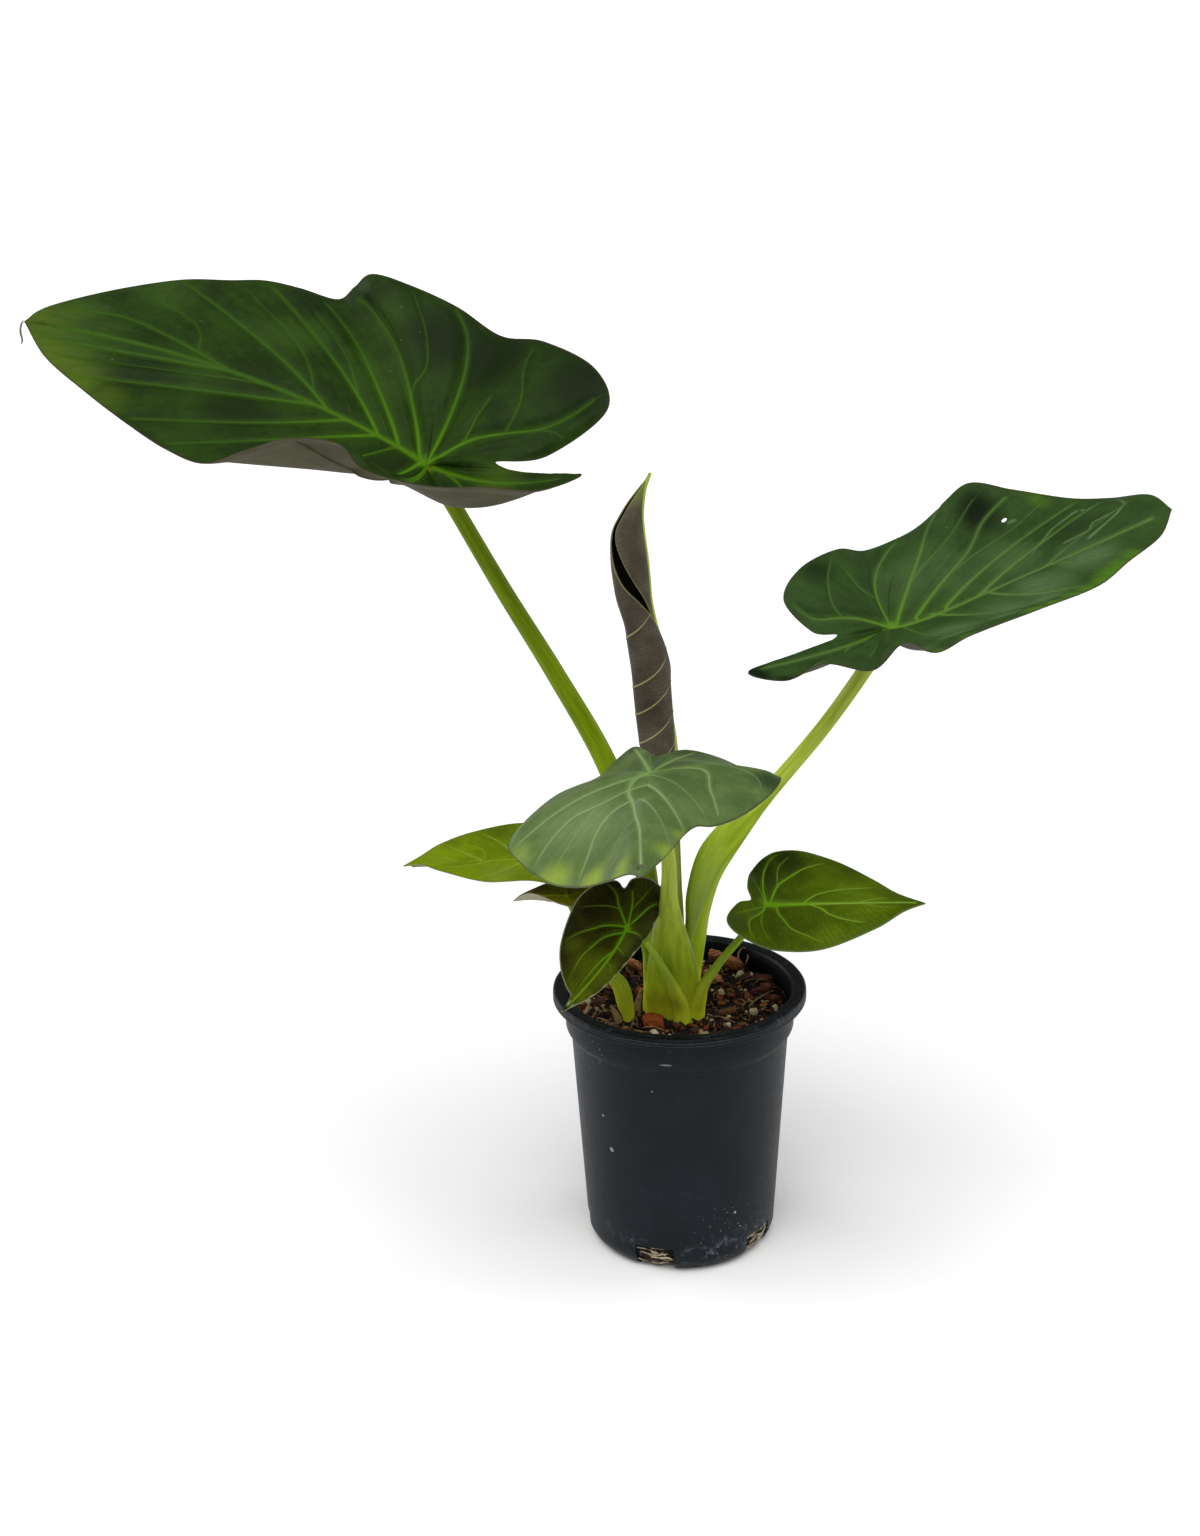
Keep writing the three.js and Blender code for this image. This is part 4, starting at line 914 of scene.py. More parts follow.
# Veins of each side as the photo shows them. A vein is a few pairs of t, its share of the way from
# midrib to margin, and its vein number there. Main veins are wide, and fine ones branch off them.
VEINS = {
    ("upper_left", "left", "main"): [
        [(0, 1), (0.9, 1)], [(0, 3), (0.7, 3)], [(0, 4.3), (0.6, 4)], [(0, 5.95), (0.5, 5.75), (0.97, 5.6)],
        [(0, 6.5), (0.5, 6.2), (0.97, 6.1)], [(0, 6.95), (0.5, 7.2), (0.97, 7.4)],
        [(0, 7.83), (0.5, 8.3), (0.93, 8.65)],
    ],
    ("upper_left", "left", "fine"): [
        [(0, 7.45), (0.5, 7.75), (0.95, 8)], [(0.15, 1.1), (0.5, 1.5)], [(0, 5.4), (0.6, 5)],
    ],
    ("upper_left", "right", "main"): [
        [(0, 1.5), (0.22, 1.45), (0.42, 1.18), (0.65, 1), (0.92, 1.18)],
        [(0, 2.8), (0.6, 2.8), (0.85, 2.87), (0.97, 3)],
        [(0, 4.5), (0.3, 4.45), (0.6, 4.3), (0.85, 4.42), (0.96, 4.6)],
        [(0, 5.4), (0.3, 5.45), (0.7, 5.33), (0.92, 5.3)], [(0, 5.93), (0.3, 6.02), (0.6, 6.05), (0.96, 6)],
        [(0, 6.78), (0.3, 6.93), (0.6, 7), (0.96, 7)], [(0, 7.83), (0.5, 7.75), (0.75, 7.75), (0.95, 7.95)],
    ],
    ("upper_left", "right", "fine"): [
        [(0.36, 4.42), (0.5, 3.7), (0.7, 3.5), (0.93, 3.5)],
        [(0.42, 1.18), (0.58, 1.6), (0.74, 1.9), (0.93, 2.05)], [(0.6, 1), (0.88, 0.75)],
        [(0.2, 1.5), (0.35, 1.85), (0.52, 2)], [(0.25, 6), (0.5, 5.78), (0.8, 5.7)],
        [(0.1, 6.85), (0.5, 6.55), (0.85, 6.5)], [(0.3, 7.75), (0.6, 7.4), (0.85, 7.35)],
        [(0.5, 8), (0.9, 8.4)],
    ],
    ("upper_right", "left", "main"): [
        [(0, 1.15), (0.25, 1.03), (0.5, 0.85), (0.8, 0.75), (0.93, 0.95)],
        [(0, 2.45), (0.32, 2.45), (0.6, 2.62), (0.8, 2.78), (0.96, 2.95)],
        [(0, 4.55), (0.3, 4.5), (0.55, 4.38), (0.83, 4.1), (0.97, 4)],
        [(0, 5.55), (0.3, 5.5), (0.55, 5.4), (0.77, 5.1), (0.95, 5.05)],
        [(0, 6.4), (0.5, 6.36), (0.96, 6.28)], [(0, 7.1), (0.5, 7.1), (0.95, 6.95)],
    ],
    ("upper_right", "left", "fine"): [
        [(0.45, 0.9), (0.62, 1.35), (0.8, 1.7), (0.95, 1.9)], [(0.25, 2.45), (0.42, 1.95), (0.7, 1.88)],
        [(0.3, 4.5), (0.6, 4.75), (0.9, 4.7)], [(0.35, 5.5), (0.7, 5.8), (0.93, 5.7)],
        [(0, 7.95), (0.5, 7.95), (0.95, 7.8)],
    ],
    ("upper_right", "right", "main"): [
        [(0, 1.1), (0.5, 1), (0.92, 1)], [(0, 7.1), (0.4, 6.6), (0.7, 6.3), (0.93, 6.2)],
        [(0, 5.9), (0.4, 5.7), (0.85, 5.5)],
    ],
    ("upper_right", "right", "fine"): [
        [(0.3, 1.1), (0.6, 1.7), (0.85, 1.9)], [(0, 4.6), (0.5, 4.3), (0.85, 4.2)],
        [(0, 8), (0.5, 7.6), (0.9, 7.4)], [(0, 2.6), (0.7, 2.4)],
    ],
    ("front", "left", "main"): [
        [(0, 3.2), (0.3, 3.3), (0.45, 3.6), (0.6, 4.2), (0.75, 4.5), (0.92, 4.75)],
        [(0, 5.9), (0.5, 5.95), (0.96, 6)], [(0, 1), (0.85, 1.2)],
    ],
    ("front", "left", "fine"): [
        [(0.45, 3), (0.8, 3.4), (0.93, 3.7)], [(0, 4.9), (0.6, 5), (0.9, 5.1)],
        [(0, 7), (0.6, 7.1), (0.93, 7.2)], [(0.3, 1.1), (0.8, 2)],
    ],
    ("front", "right", "main"): [
        [(0, 4.3), (0.5, 4.12), (0.96, 4.15)],
        [(0.2, 5.25), (0.4, 4.95), (0.6, 4.62), (0.77, 4.65), (0.96, 4.8)],
        [(0.22, 6.05), (0.4, 5.66), (0.6, 5.65), (0.8, 5.82), (0.96, 5.9)], [(0, 1), (0.9, 1)],
    ],
    ("front", "right", "fine"): [
        [(0.24, 7.2), (0.6, 6.95), (0.95, 6.9)], [(0, 3), (0.5, 2.7), (0.9, 2.6)],
        [(0.4, 4.9), (0.7, 5.2), (0.93, 5.3)],
    ],
    ("low_front", "left", "main"): [
        [(0, 0.8), (0.45, 0.72), (0.75, 0.57)], [(0, 1.9), (0.5, 1.88), (0.72, 2.05), (0.9, 2.4)],
        [(0, 3.05), (0.3, 3.35), (0.85, 3.65)],
    ],
    ("low_front", "left", "fine"): [
        [(0.35, 0.85), (0.6, 1.2), (0.93, 1.4)], [(0, 4.1), (0.6, 4.3)], [(0, 4.7), (0.7, 4.9)],
    ],
    ("low_front", "right", "main"): [
        [(0, 0.8), (0.45, 0.75), (0.7, 0.67), (0.92, 0.8)],
        [(0, 2.2), (0.35, 2.45), (0.55, 2.68), (0.78, 2.82), (0.95, 3)],
        [(0, 3.05), (0.3, 3.35), (0.45, 3.7), (0.6, 3.95), (0.75, 4.2), (0.93, 4.4)],
        [(0, 4.3), (0.4, 4.8), (0.85, 5.3)],
    ],
    ("low_front", "right", "fine"): [[(0.38, 0.8), (0.5, 1.15), (0.65, 1.5), (0.85, 1.85)]],
    ("low_right", "left", "main"): [
        [(0, 1.4), (0.3, 1.35), (0.6, 1.6), (0.8, 1.9), (0.93, 2.15)],
        [(0, 2.5), (0.3, 2.5), (0.5, 2.67), (0.72, 2.78), (0.9, 2.92)],
        [(0, 3.85), (0.3, 3.82), (0.5, 4), (0.65, 4.2), (0.9, 4.5)],
    ],
    ("low_right", "left", "fine"): [
        [(0, 1), (0.8, 0.9)], [(0, 5), (0.6, 5.3)], [(0.3, 2.5), (0.6, 2.3), (0.85, 2.4)],
    ],
    ("low_right", "right", "main"): [
        [(0, 1.9), (0.25, 1.8), (0.52, 1.6), (0.72, 1.74), (0.92, 1.95)],
        [(0, 2.95), (0.2, 3.1), (0.35, 3.3), (0.55, 3.5), (0.72, 3.82), (0.9, 4.05)],
        [(0, 4.05), (0.15, 4.32), (0.3, 4.42), (0.5, 4.62), (0.78, 4.93)],
    ],
    ("low_right", "right", "fine"): [
        [(0, 2.1), (0.3, 2.05), (0.5, 2.1), (0.73, 2.5), (0.92, 2.9)], [(0, 1.2), (0.8, 1)],
        [(0, 5.1), (0.7, 5.5)],
    ],
    ("left", "left", "main"): [
        [(0, 3.6), (0.5, 3.9), (0.92, 4.2)], [(0, 4.5), (0.5, 4.8), (0.92, 5.1)],
        [(0, 2.4), (0.5, 2.7), (0.92, 3)], [(0, 1.2), (0.9, 1.1)],
    ],
    ("left", "left", "fine"): [[(0, 5.1), (0.8, 5.5)]],
    ("left", "right", "main"): [
        [(0, 3.75), (0.3, 3.88), (0.6, 3.93), (0.95, 4)],
        [(0, 4.7), (0.3, 4.87), (0.6, 4.95), (0.93, 4.95)], [(0, 2.6), (0.5, 2.8), (0.92, 3)],
        [(0, 1.2), (0.9, 1.1)],
    ],
    ("left", "right", "fine"): [[(0.1, 4.6), (0.35, 4.5), (0.6, 4.6)], [(0, 5.2), (0.8, 5.5)]],
    ("offset", "left", "main"): [[(0, 1), (0.9, 1)], [(0, 2.2), (0.9, 2.6)], [(0, 3.3), (0.9, 3.9)]],
    ("offset", "left", "fine"): [[(0, 4.3), (0.9, 4.9)]],
    ("offset", "right", "main"): [[(0, 1), (0.9, 1)], [(0, 2.2), (0.9, 2.6)], [(0, 3.3), (0.9, 3.9)]],
    ("offset", "right", "fine"): [[(0, 4.3), (0.9, 4.9)]],
}

# Patches of another tone: t, vein number or numbers, reach in mm, strength
PATCHES = {
    ("upper_left", "left", "yellow"): [
        (1, 8.4, 26, 0.55), (1, 7.8, 26, 0.6), (1, 7.2, 24, 0.6), (1, 6.6, 20, 0.4), (0.5, 1, 20, 0.3),
    ],
    ("upper_left", "right", "yellow"): [(1, 8.8, 26, 0.6), (0.9, 8.2, 22, 0.3)],
    ("upper_left", "left", "dark"): [(0.5, 6.6, 26, 0.6), (0.5, 7.8, 22, 0.5)],
    ("upper_left", "right", "dark"): [
        (0.75, 3.2, 34, 0.7), (0.8, 2.4, 34, 0.8), (0.9, 1.4, 30, 0.8), (0.9, 5.6, 24, 0.4),
        (0.6, 4.9, 12, 0.5),
    ],
    ("upper_left", "left", "pale"): [(0.8, 8.3, 30, 0.45)],
    ("upper_left", "right", "pale"): [
        (0.5, 5, 30, 0.2), (0.6, 6.5, 26, 0.2), (0.8, 8.3, 30, 0.4), (0.9, 7.2, 24, 0.3), (0.8, 4.2, 20, 0.3),
    ],
    ("upper_right", "left", "yellow"): [(0.95, 5.6, 9, 0.5)],
    ("upper_right", "right", "yellow"): [
        (1, (5, 5.3, 5.6, 5.9, 6.2, 6.5, 6.8, 7.2), 12, 0.95), (1, (3.5, 4), 9, 0.6),
    ],
    ("upper_right", "left", "dark"): [(0.82, 4.9, 19, 1), (0.85, 1.6, 16, 0.6), (0.6, 7.4, 30, 0.3)],
    ("upper_right", "right", "dark"): [(1, 1, 16, 0.9), (1, 1.25, 12, 1), (1, 1.5, 9, 0.9)],
    ("upper_right", "left", "pale"): [(0.4, (4, 5.5, 6.8), 26, 0.2)],
    ("upper_right", "right", "pale"): [
        (0.6, (4.6, 5.6, 6.6, 7.6), 24, 0.44), (0.8, (3.4, 4.2, 5, 5.8), 14, 0.5),
    ],
    ("front", "left", "yellow"): [(1, 7.4, 10, 0.45), (1, 6.2, 8, 0.3)],
    ("front", "right", "yellow"): [
        (1, 6.4, 15, 0.7), (1, 5.4, 17, 0.6), (1, 7.6, 13, 0.6), (1, 4.4, 13, 0.3),
    ],
    # Dark patches at t 0.35 and 0.4 near the notch, on both sides of the front blade, are painted shade in
    # the valleys by the main veins.
    ("front", "left", "dark"): [
        (0.75, 1.2, 18, 0.7), (0.95, 3.4, 16, 0.9), (0.7, 2.6, 18, 0.5), (0.9, 4.2, 14, 0.4),
        (0.35, 1.5, 20, 0.45), (0.25, 4.6, 12, 0.35),
    ],
    ("front", "right", "dark"): [(0.9, 1.2, 12, 0.5), (0.35, 1.4, 20, 0.5), (0.4, 2.8, 16, 0.4)],
    ("front", "right", "pale"): [(0.6, 5, 30, 0.5), (0.5, 6.2, 24, 0.3)],
    ("low_front", "left", "yellow"): [(0.5, 5, 12, 0.8), (0.3, 4, 8, 0.5)],
    ("low_front", "right", "yellow"): [(0.4, 4.6, 16, 0.75), (0.75, 3.4, 8, 0.5), (0.5, 5.4, 12, 0.8)],
    ("low_front", "left", "dark"): [(0.9, 1.4, 10, 0.4)],
    ("low_front", "right", "dark"): [(0.7, 1.5, 16, 0.6), (0.9, 2.5, 12, 0.5)],
    ("low_front", "left", "pale"): [(1, (3.2, 3.7, 4.1, 4.5, 4.9, 5.2, 5.5, 5.8), 2.4, 0.9)],
    ("low_right", "left", "yellow"): [(0.2, 5, 16, 0.4), (0.6, 4.2, 12, 0.4)],
    ("low_right", "right", "yellow"): [(0.3, 5, 16, 0.35), (0.8, 4.3, 12, 0.35)],
    ("low_right", "left", "dark"): [(0.8, 1.5, 20, 0.8), (0.8, 2.4, 16, 0.8), (0.5, 2.1, 14, 0.5)],
    ("low_right", "right", "dark"): [(0.8, 1.5, 10, 0.4)],
    ("low_right", "left", "pale"): [(0.97, 0.8, 6, 0.4)],
    ("low_right", "right", "pale"): [(0.9, 1.2, 10, 0.25)],
    ("left", "left", "yellow"): [(0.5, 5.5, 12, 0.6)],
    ("left", "right", "yellow"): [(0.6, 5.2, 16, 0.7)],
    ("left", "left", "dark"): [(0.8, 3.3, 10, 0.4)],
    ("left", "right", "dark"): [(0.85, 3.6, 14, 0.6), (0.8, 4.9, 8, 0.7), (0.3, 3.7, 10, 0.5)],
    ("left", "left", "pale"): [(0.7, 3.9, 16, 0.5)],
    ("offset", "right", "yellow"): [(0.4, 3, 10, 0.4)],
    ("offset", "right", "dark"): [(0.7, 4, 9, 0.5)],
    ("offset", "left", "pale"): [(1, (3.6, 4.4), 4, 0.8)],
    ("offset", "right", "pale"): [(0.9, 4.6, 4, 0.3)],
}
PATCH_TONES = ("yellow", "dark", "pale")
# A small bite right through the left side of one blade: t, vein number, radius in mm
BITES = {"upper_right": [(0.78, 5.45, 1.4)]}
# Pale scribbles that an insect left on that side: half width, then points of t and vein number
SCRIBBLES = {
    "upper_right": [
        (0.7, [(0.35, 7.3), (0.5, 7.1), (0.68, 6.85), (0.85, 6.75), (0.9, 6.95)]),
        (0.8, [(0.93, 7.5), (0.85, 7.85), (0.72, 8.05), (0.55, 8.15), (0.3, 8.2)]),
        (1.4, [(0.77, 5.6), (0.79, 5.64)]),
        (0.6, [(0.8, 7.9), (0.62, 7.8), (0.5, 7.95), (0.35, 7.8)]),
    ],
}
SCRIBBLE_SHOW = 0.75
RIB_POINTS = 60
RIB_FOOT = 0.28
BRANCH_WIDTH = 0.6
VEIN_TAPER = 0.6
JOIN_LEAN = 3
FAR = 60.0
PAST_END = 150


def smooth(value, low, high):
    """Smooth step from 0 at low to 1 at high."""
    u = np.clip((value - low) / (high - low), 0, 1)
    return u * u * (3 - 2 * u)


def leaf_frame(heading, pitch, roll):
    """Rows forward, left and up of a blade whose midrib leaves along heading and pitch, rolled
    about the midrib."""
    h, p, r = np.radians([heading, pitch, roll])
    forward = np.array([math.cos(h) * math.cos(p), math.sin(h) * math.cos(p), math.sin(p)])
    level = np.array([-math.sin(h), math.cos(h), 0])
    left = level * math.cos(r) + np.cross(forward, level) * math.sin(r)
    return np.stack([forward, left, np.cross(forward, left)])


def midrib(leaf, m):
    """Arc of the midrib: 2 m (1 - m) times its handle plus m squared times its tip."""
    m = np.asarray(m)[:, None]
    return 2 * m * (1 - m) * np.array(leaf["handle"]) + m * m * np.array(leaf["tip"])


def blade_side(leaf, side):
    """Points of one side as a grid over vein number and t. Vein number a runs from the notch to the
    tip, and t from the midrib to the margin: (1 - t)^2 base + 2 t (1 - t) middle + t^2 edge, where
    edge is the smooth margin, base is on the midrib, and middle is halfway, drawn back and lifted
    by the belly. Past the notch the margin goes on as the other side's first row."""
    rows = np.array(leaf[side], float)
    other, sign = ("right", 1) if side == "left" else ("left", -1)
    veins = int(rows[-1, 0])
    before = np.array(leaf[other][1], float) * (-1, 1, -1, 1, 1)
    after = 2 * rows[-1] - rows[-2]
    after[0] = veins + 1
    even = np.linspace(0, veins, veins * leaf["columns"] + 1)
    a = even - PINCH * np.sin(2 * math.pi * even)
    _, forward, sideways, up, belly = hermite(np.vstack([before, rows, after]), a).T
    edge = np.stack([forward, sign * sideways, up], axis=1)
    run = np.clip((a - leaf["start"]) / (veins - leaf["start"]), 0, 1)
    base = midrib(leaf, LAST_VEIN_BASE * run ** leaf["power"])
    bow = VEIN_BOW * np.linalg.norm(edge - base, axis=1) * np.clip((a - 1.5) / 2, 0, 1)
    middle = (edge + base) / 2
    middle[:, 0] -= bow
    middle[:, 2] += belly
    t = np.linspace(0, 1, leaf["rungs"] + 1)[None, :, None]
    points = (1 - t) ** 2 * base[:, None] + 2 * t * (1 - t) * middle[:, None] + t**2 * edge[:, None]
    return a, t.ravel(), points


def rib_path(leaf, drift, grid):
    """Line of points on the right side that the midrib follows, and the t where it lies at each
    vein number. drift is the t that it strays to in the middle of its run."""
    a, t, points = grid
    stray = drift * smooth(a, leaf["start"], leaf["start"] + 3) * smooth(a, a[-1], a[-1] - 2)
    rows = np.nonzero(a >= leaf["start"])[0]
    rows = rows[np.linspace(0, len(rows) - 1, RIB_POINTS).astype(int)]
    column = np.floor(stray[rows] * (len(t) - 1)).astype(int)
    rest = (stray[rows] * (len(t) - 1) - column)[:, None]
    return (1 - rest) * points[rows, column] + rest * points[rows, column + 1], stray


def joined(lines, a, rib_t):
    """Short runs on the right side that lead the left side's veins to a midrib that strays there."""
    runs = []
    for line in lines:
        stray = float(np.interp(line[0][1], a, rib_t))
        if line[0][0] == 0 and stray > 0.02:
            runs.append([(0, line[0][1]), (stray, line[0][1] - JOIN_LEAN * stray)])
    return runs


def vein_miss(lines, half, grid):
    """Distance in mm to the nearest of the veins, and that distance as a share of the vein's half
    width, minus before the vein and plus after it. At each t it is the miss in vein number times
    the spacing of the lines of equal number, taken square to the vein: |P_a x P_t| / |P_t + slope P_a|."""
    a, t, points = grid
    step_a = np.gradient(points, a, axis=0)
    step_t = np.gradient(points, t, axis=1)
    area = np.linalg.norm(np.cross(step_a, step_t), axis=2)
    nearest, share = np.full(area.shape, FAR), np.full(area.shape, FAR)
    for line in lines:
        number = hermite(line, np.clip(t, line[0][0], line[-1][0]))[:, 1]
        slope = np.gradient(number, t)[None, :, None]
        tangent = np.linalg.norm(step_t + slope * step_a, axis=2)
        miss = np.abs(a[:, None] - number) * area / np.maximum(tangent, 1e-6)
        past = np.maximum(line[0][0] - t, t - line[-1][0])
        miss = miss + PAST_END * np.maximum(past, 0)
        nearest = np.minimum(nearest, miss)
        signed = np.sign(a[:, None] - number) * miss / (half * (1 - VEIN_TAPER * t))
        share = np.where(np.abs(signed) < np.abs(share), signed, share)
    return nearest, share


def line_miss(points, line):
    """Distance from each point to a line of short straight runs, and the share of the line at the
    nearest place. On a run from p by d it is |q - p - d clip((q - p) . d / d . d, 0, 1)|."""
    run = line[1:] - line[:-1]
    length = np.maximum((run**2).sum(axis=1), 1e-9)
    apart = points[:, None] - line[None, :-1]
    share = np.clip((apart * run).sum(axis=2) / length, 0, 1)
    miss = np.linalg.norm(apart - share[..., None] * run, axis=2)
    k = miss.argmin(axis=1)
    rows = np.arange(len(points))
    return miss[rows, k], (k + share[rows, k]) / len(run)


def blade_facts(look, main_lines, fine_lines, grid, rib, beyond):
    """Facts at the points of one side: misses of main vein, fine vein and midrib, t, vein number,
    mm to the margin, mm to the joint, and how far the tissue is blown up. beyond is the sign of
    the midrib's miss."""
    a, t, points = grid
    near_main, main = vein_miss(main_lines, look["vein_half"], grid)
    near_fine, fine = vein_miss(fine_lines, BRANCH_WIDTH * look["vein_half"], grid)
    near_mid, along = line_miss(points.reshape(-1, 3), rib)
    near_mid, along = near_mid.reshape(main.shape), along.reshape(main.shape)
    mid = beyond * near_mid / (look["rib_half"] * (RIB_FOOT + (1 - RIB_FOOT) * (1 - along) ** 2))
    reach = np.linalg.norm(np.gradient(points, t, axis=1), axis=2)
    edge = (1 - t) * reach
    valley = np.minimum(np.minimum(near_main, near_mid), 4 + 1.2 * near_fine)
    puff = look["puff"] * smooth(valley, 0, look["puff_reach"]) * smooth(edge, 0, 1.5 * look["puff_reach"])
    heart = np.linalg.norm(points, axis=2)
    level = np.broadcast_to(t, main.shape)
    number = np.broadcast_to(a[:, None], main.shape)
    return np.stack([main, fine, mid, level, number, edge, heart, puff], axis=-1).reshape(-1, 8)


def spot_on(grid, t, number):
    """Point of one side at a t and a vein number."""
    a, levels, points = grid
    return points[np.abs(a - number).argmin(), np.abs(levels - t).argmin()]


def patches_on(name, points, grids):
    """Strength of each tone of patch at the points: full at a patch's spot, nothing past its reach."""
    found = np.zeros((len(points), 3))
    for k, tone in enumerate(PATCH_TONES):
        for side, grid in grids.items():
            for t, numbers, reach, strength in PATCHES.get((name, side, tone), []):
                for number in np.atleast_1d(numbers):
                    apart = np.linalg.norm(points - spot_on(grid, t, number), axis=1)
                    found[:, k] = np.maximum(found[:, k], strength * smooth(apart, 1.25 * reach, 0.2 * reach))
    for wide, line in SCRIBBLES.get(name, []):
        spots = np.array([spot_on(grids["left"], t, number) for t, number in line])
        apart = line_miss(points, spots)[0]
        found[:, 2] = np.maximum(found[:, 2], SCRIBBLE_SHOW * smooth(apart, 1.4 * wide, 0.3 * wide))
    return found


def normals_of(points, triangles):
    """Normal at each point: the sum of the area vectors of its triangles, made unit long."""
    a, b, c = (points[triangles[:, k]] for k in range(3))
    area = np.cross(b - a, c - a)
    total = np.zeros_like(points)
    for k in range(3):
        np.add.at(total, triangles[:, k], area)
    return total / np.maximum(np.linalg.norm(total, axis=1, keepdims=True), 1e-9)


def thickened(points, triangles, above, below):
    """Closed solid of a sheet: the sheet moved out by above and below along its normals, and a
    wall along every edge that has a triangle on one side only."""
    normal = normals_of(points, triangles)
    count = len(points)
    shell = np.concatenate([points + normal * above[:, None], points - normal * below[:, None]])
    pairs = np.concatenate([triangles[:, [0, 1]], triangles[:, [1, 2]], triangles[:, [2, 0]]])
    code, back = pairs[:, 0] * count + pairs[:, 1], pairs[:, 1] * count + pairs[:, 0]
    i, j = pairs[~np.isin(code, back)].T
    walls = np.concatenate([np.stack([i, i + count, j + count], axis=1), np.stack([i, j + count, j], axis=1)])
    return shell, np.concatenate([triangles, triangles[:, ::-1] + count, walls])


def blade_sheet(name, look):
    """Both sides of a blade as one sheet in the plant's frame, blown up between its veins, with
    the facts and the patches of tone at its points."""
    leaf = LEAVES[name]
    grids = {side: blade_side(leaf, side) for side in ("left", "right")}
    rib, rib_t = rib_path(leaf, look["drift"], grids["right"])
    main, fine = VEINS[name, "left", "main"], VEINS[name, "left", "fine"]
    facts = [blade_facts(look, main, fine, grids["left"], rib, -1)]
    a, t, _ = grids["right"]
    main = VEINS[name, "right", "main"] + joined(main, a, rib_t)
    fine = VEINS[name, "right", "fine"] + joined(fine, a, rib_t)
    facts.append(blade_facts(look, main, fine, grids["right"], rib, np.sign(t - rib_t[:, None])))
    left, right = grids["left"][2], grids["right"][2]
    quads = [grid_quads(*left.shape[:2])[:, ::-1], grid_quads(*right.shape[:2]) + left.size // 3]
    points = np.concatenate([left.reshape(-1, 3), right.reshape(-1, 3)])
    whole = np.ones(len(points), bool)
    for t, number, radius in BITES.get(name, []):
        whole &= np.linalg.norm(points - spot_on(grids["left"], t, number), axis=1) >= radius
    patches = patches_on(name, points, grids)
    first, triangles = weld(points, np.concatenate(quads))
    triangles = triangles[whole[first][triangles].all(axis=1)]
    used, triangles = np.unique(triangles, return_inverse=True)
    triangles = triangles.reshape(-1, 3)
    kept = first[used]
    points, facts, patches = points[kept], np.concatenate(facts)[kept], patches[kept]
    points = points @ leaf_frame(*leaf["turn"]) + np.array(leaf["joint"])
    points = points + normals_of(points, triangles) * facts[:, 7:8]
    return points, triangles, facts, patches


def look_of(name):
    """Look of a blade as named colours and sizes."""
    codes, *sizes = LOOKS[name]
    tones = dict(zip(LOOK_TONES.split(), map(shade, codes.split())))
    return {**tones, **dict(zip(LOOK_SIZES.split(), sizes))}


def leaf_paint(look):
    """Paint of one blade: cloudy tissue with patches, a paler band and a core on each vein, a glow
    at the joint, a thin margin line, and a dull lower face with raised veins."""
    def paint(start):
        main, fine, mid = [part.size() for part in start.fact("ribs").parts()]
        out, number, under = start.fact("lie").parts()
        edge, heart, _ = start.fact("reach").parts()
        yellow, dark, pale = start.fact("patch").parts()
        place = start.place()
        cloud = place.noise(30, 4, 0.6)
        mottle = place.noise(190, 3, 0.6)
        speckle = place.noise(650, 2, 0.6)
        top = (cloud + 0.35 * mottle).step(0.5, 0.85).blend(look["dark"], look["light"])
        top = (dark * (0.55 + cloud)).blend(top, look["deep"])
        top = (pale * (0.5 + cloud)).blend(top, look["pale"])
        top = (yellow * (0.45 + 0.7 * cloud + 0.3 * mottle)).blend(top, look["yellow"])
        stripe = (number * look["stria"] + mottle * 7.0).wave() * out.step(0.05, 0.4)
        top = (stripe.step(-0.2, 1.0) * look["stria_show"]).blend(top, look["deep"])
        halo = (main.step(4.0, 0.8) * 0.4).most(mid.step(2.4, 0.8) * 0.7).most(fine.step(4.0, 0.8) * 0.2)
        top = (halo * (0.6 + 0.8 * mottle)).blend(top, look["halo"])
        core = main.step(1.5, 0.15).most(fine.step(1.6, 0.2) * 0.6)
        core = (core * edge.step(2.0, 14.0) * (1.0 - 0.45 * out)).most(mid.step(1.2, 0.3) * 0.85)
        vein = heart.step(0.0, look["glow_reach"] * MM).blend(look["glow"], look["vein"])
        top = (core * look["vein_show"]).blend(top, vein)
        top = (heart.step(look["hub"] * MM, 0.2 * look["hub"] * MM) * 0.6).blend(top, look["glow"])
        specks = place.cells(100).step(0.045, 0.025) * place.noise(14, 2).step(0.5, 0.6)
        top = (specks * 0.45).blend(top, shade("a9b48c"))
        top = (edge.step(1.3, 0.5) * 0.7).blend(top, look["edge"])
        bottom = cloud.step(0.3, 0.7).blend(look["under"], look["under_light"])
        bottom = (core * 0.6).blend(bottom, look["under_vein"])
        colour = under.step(0.35, 0.65).blend(top, bottom)
        rough = look["gloss"] + 0.18 * mottle + 0.12 * under
        depth = 0.4 * speckle + 0.5 * mottle + 0.15 * stripe - 0.9 * core * (1.0 - under) + 0.6 * core * under
        return {"Base_Color": colour, "Roughness": rough, "Normal": depth.relief(0.0005, 0.8)}
    return paint


def doubled(*facts):
    """Three facts of a sheet for its solid, the same at the upper and the lower face."""
    return np.tile(np.stack(facts, axis=1), (2, 1))


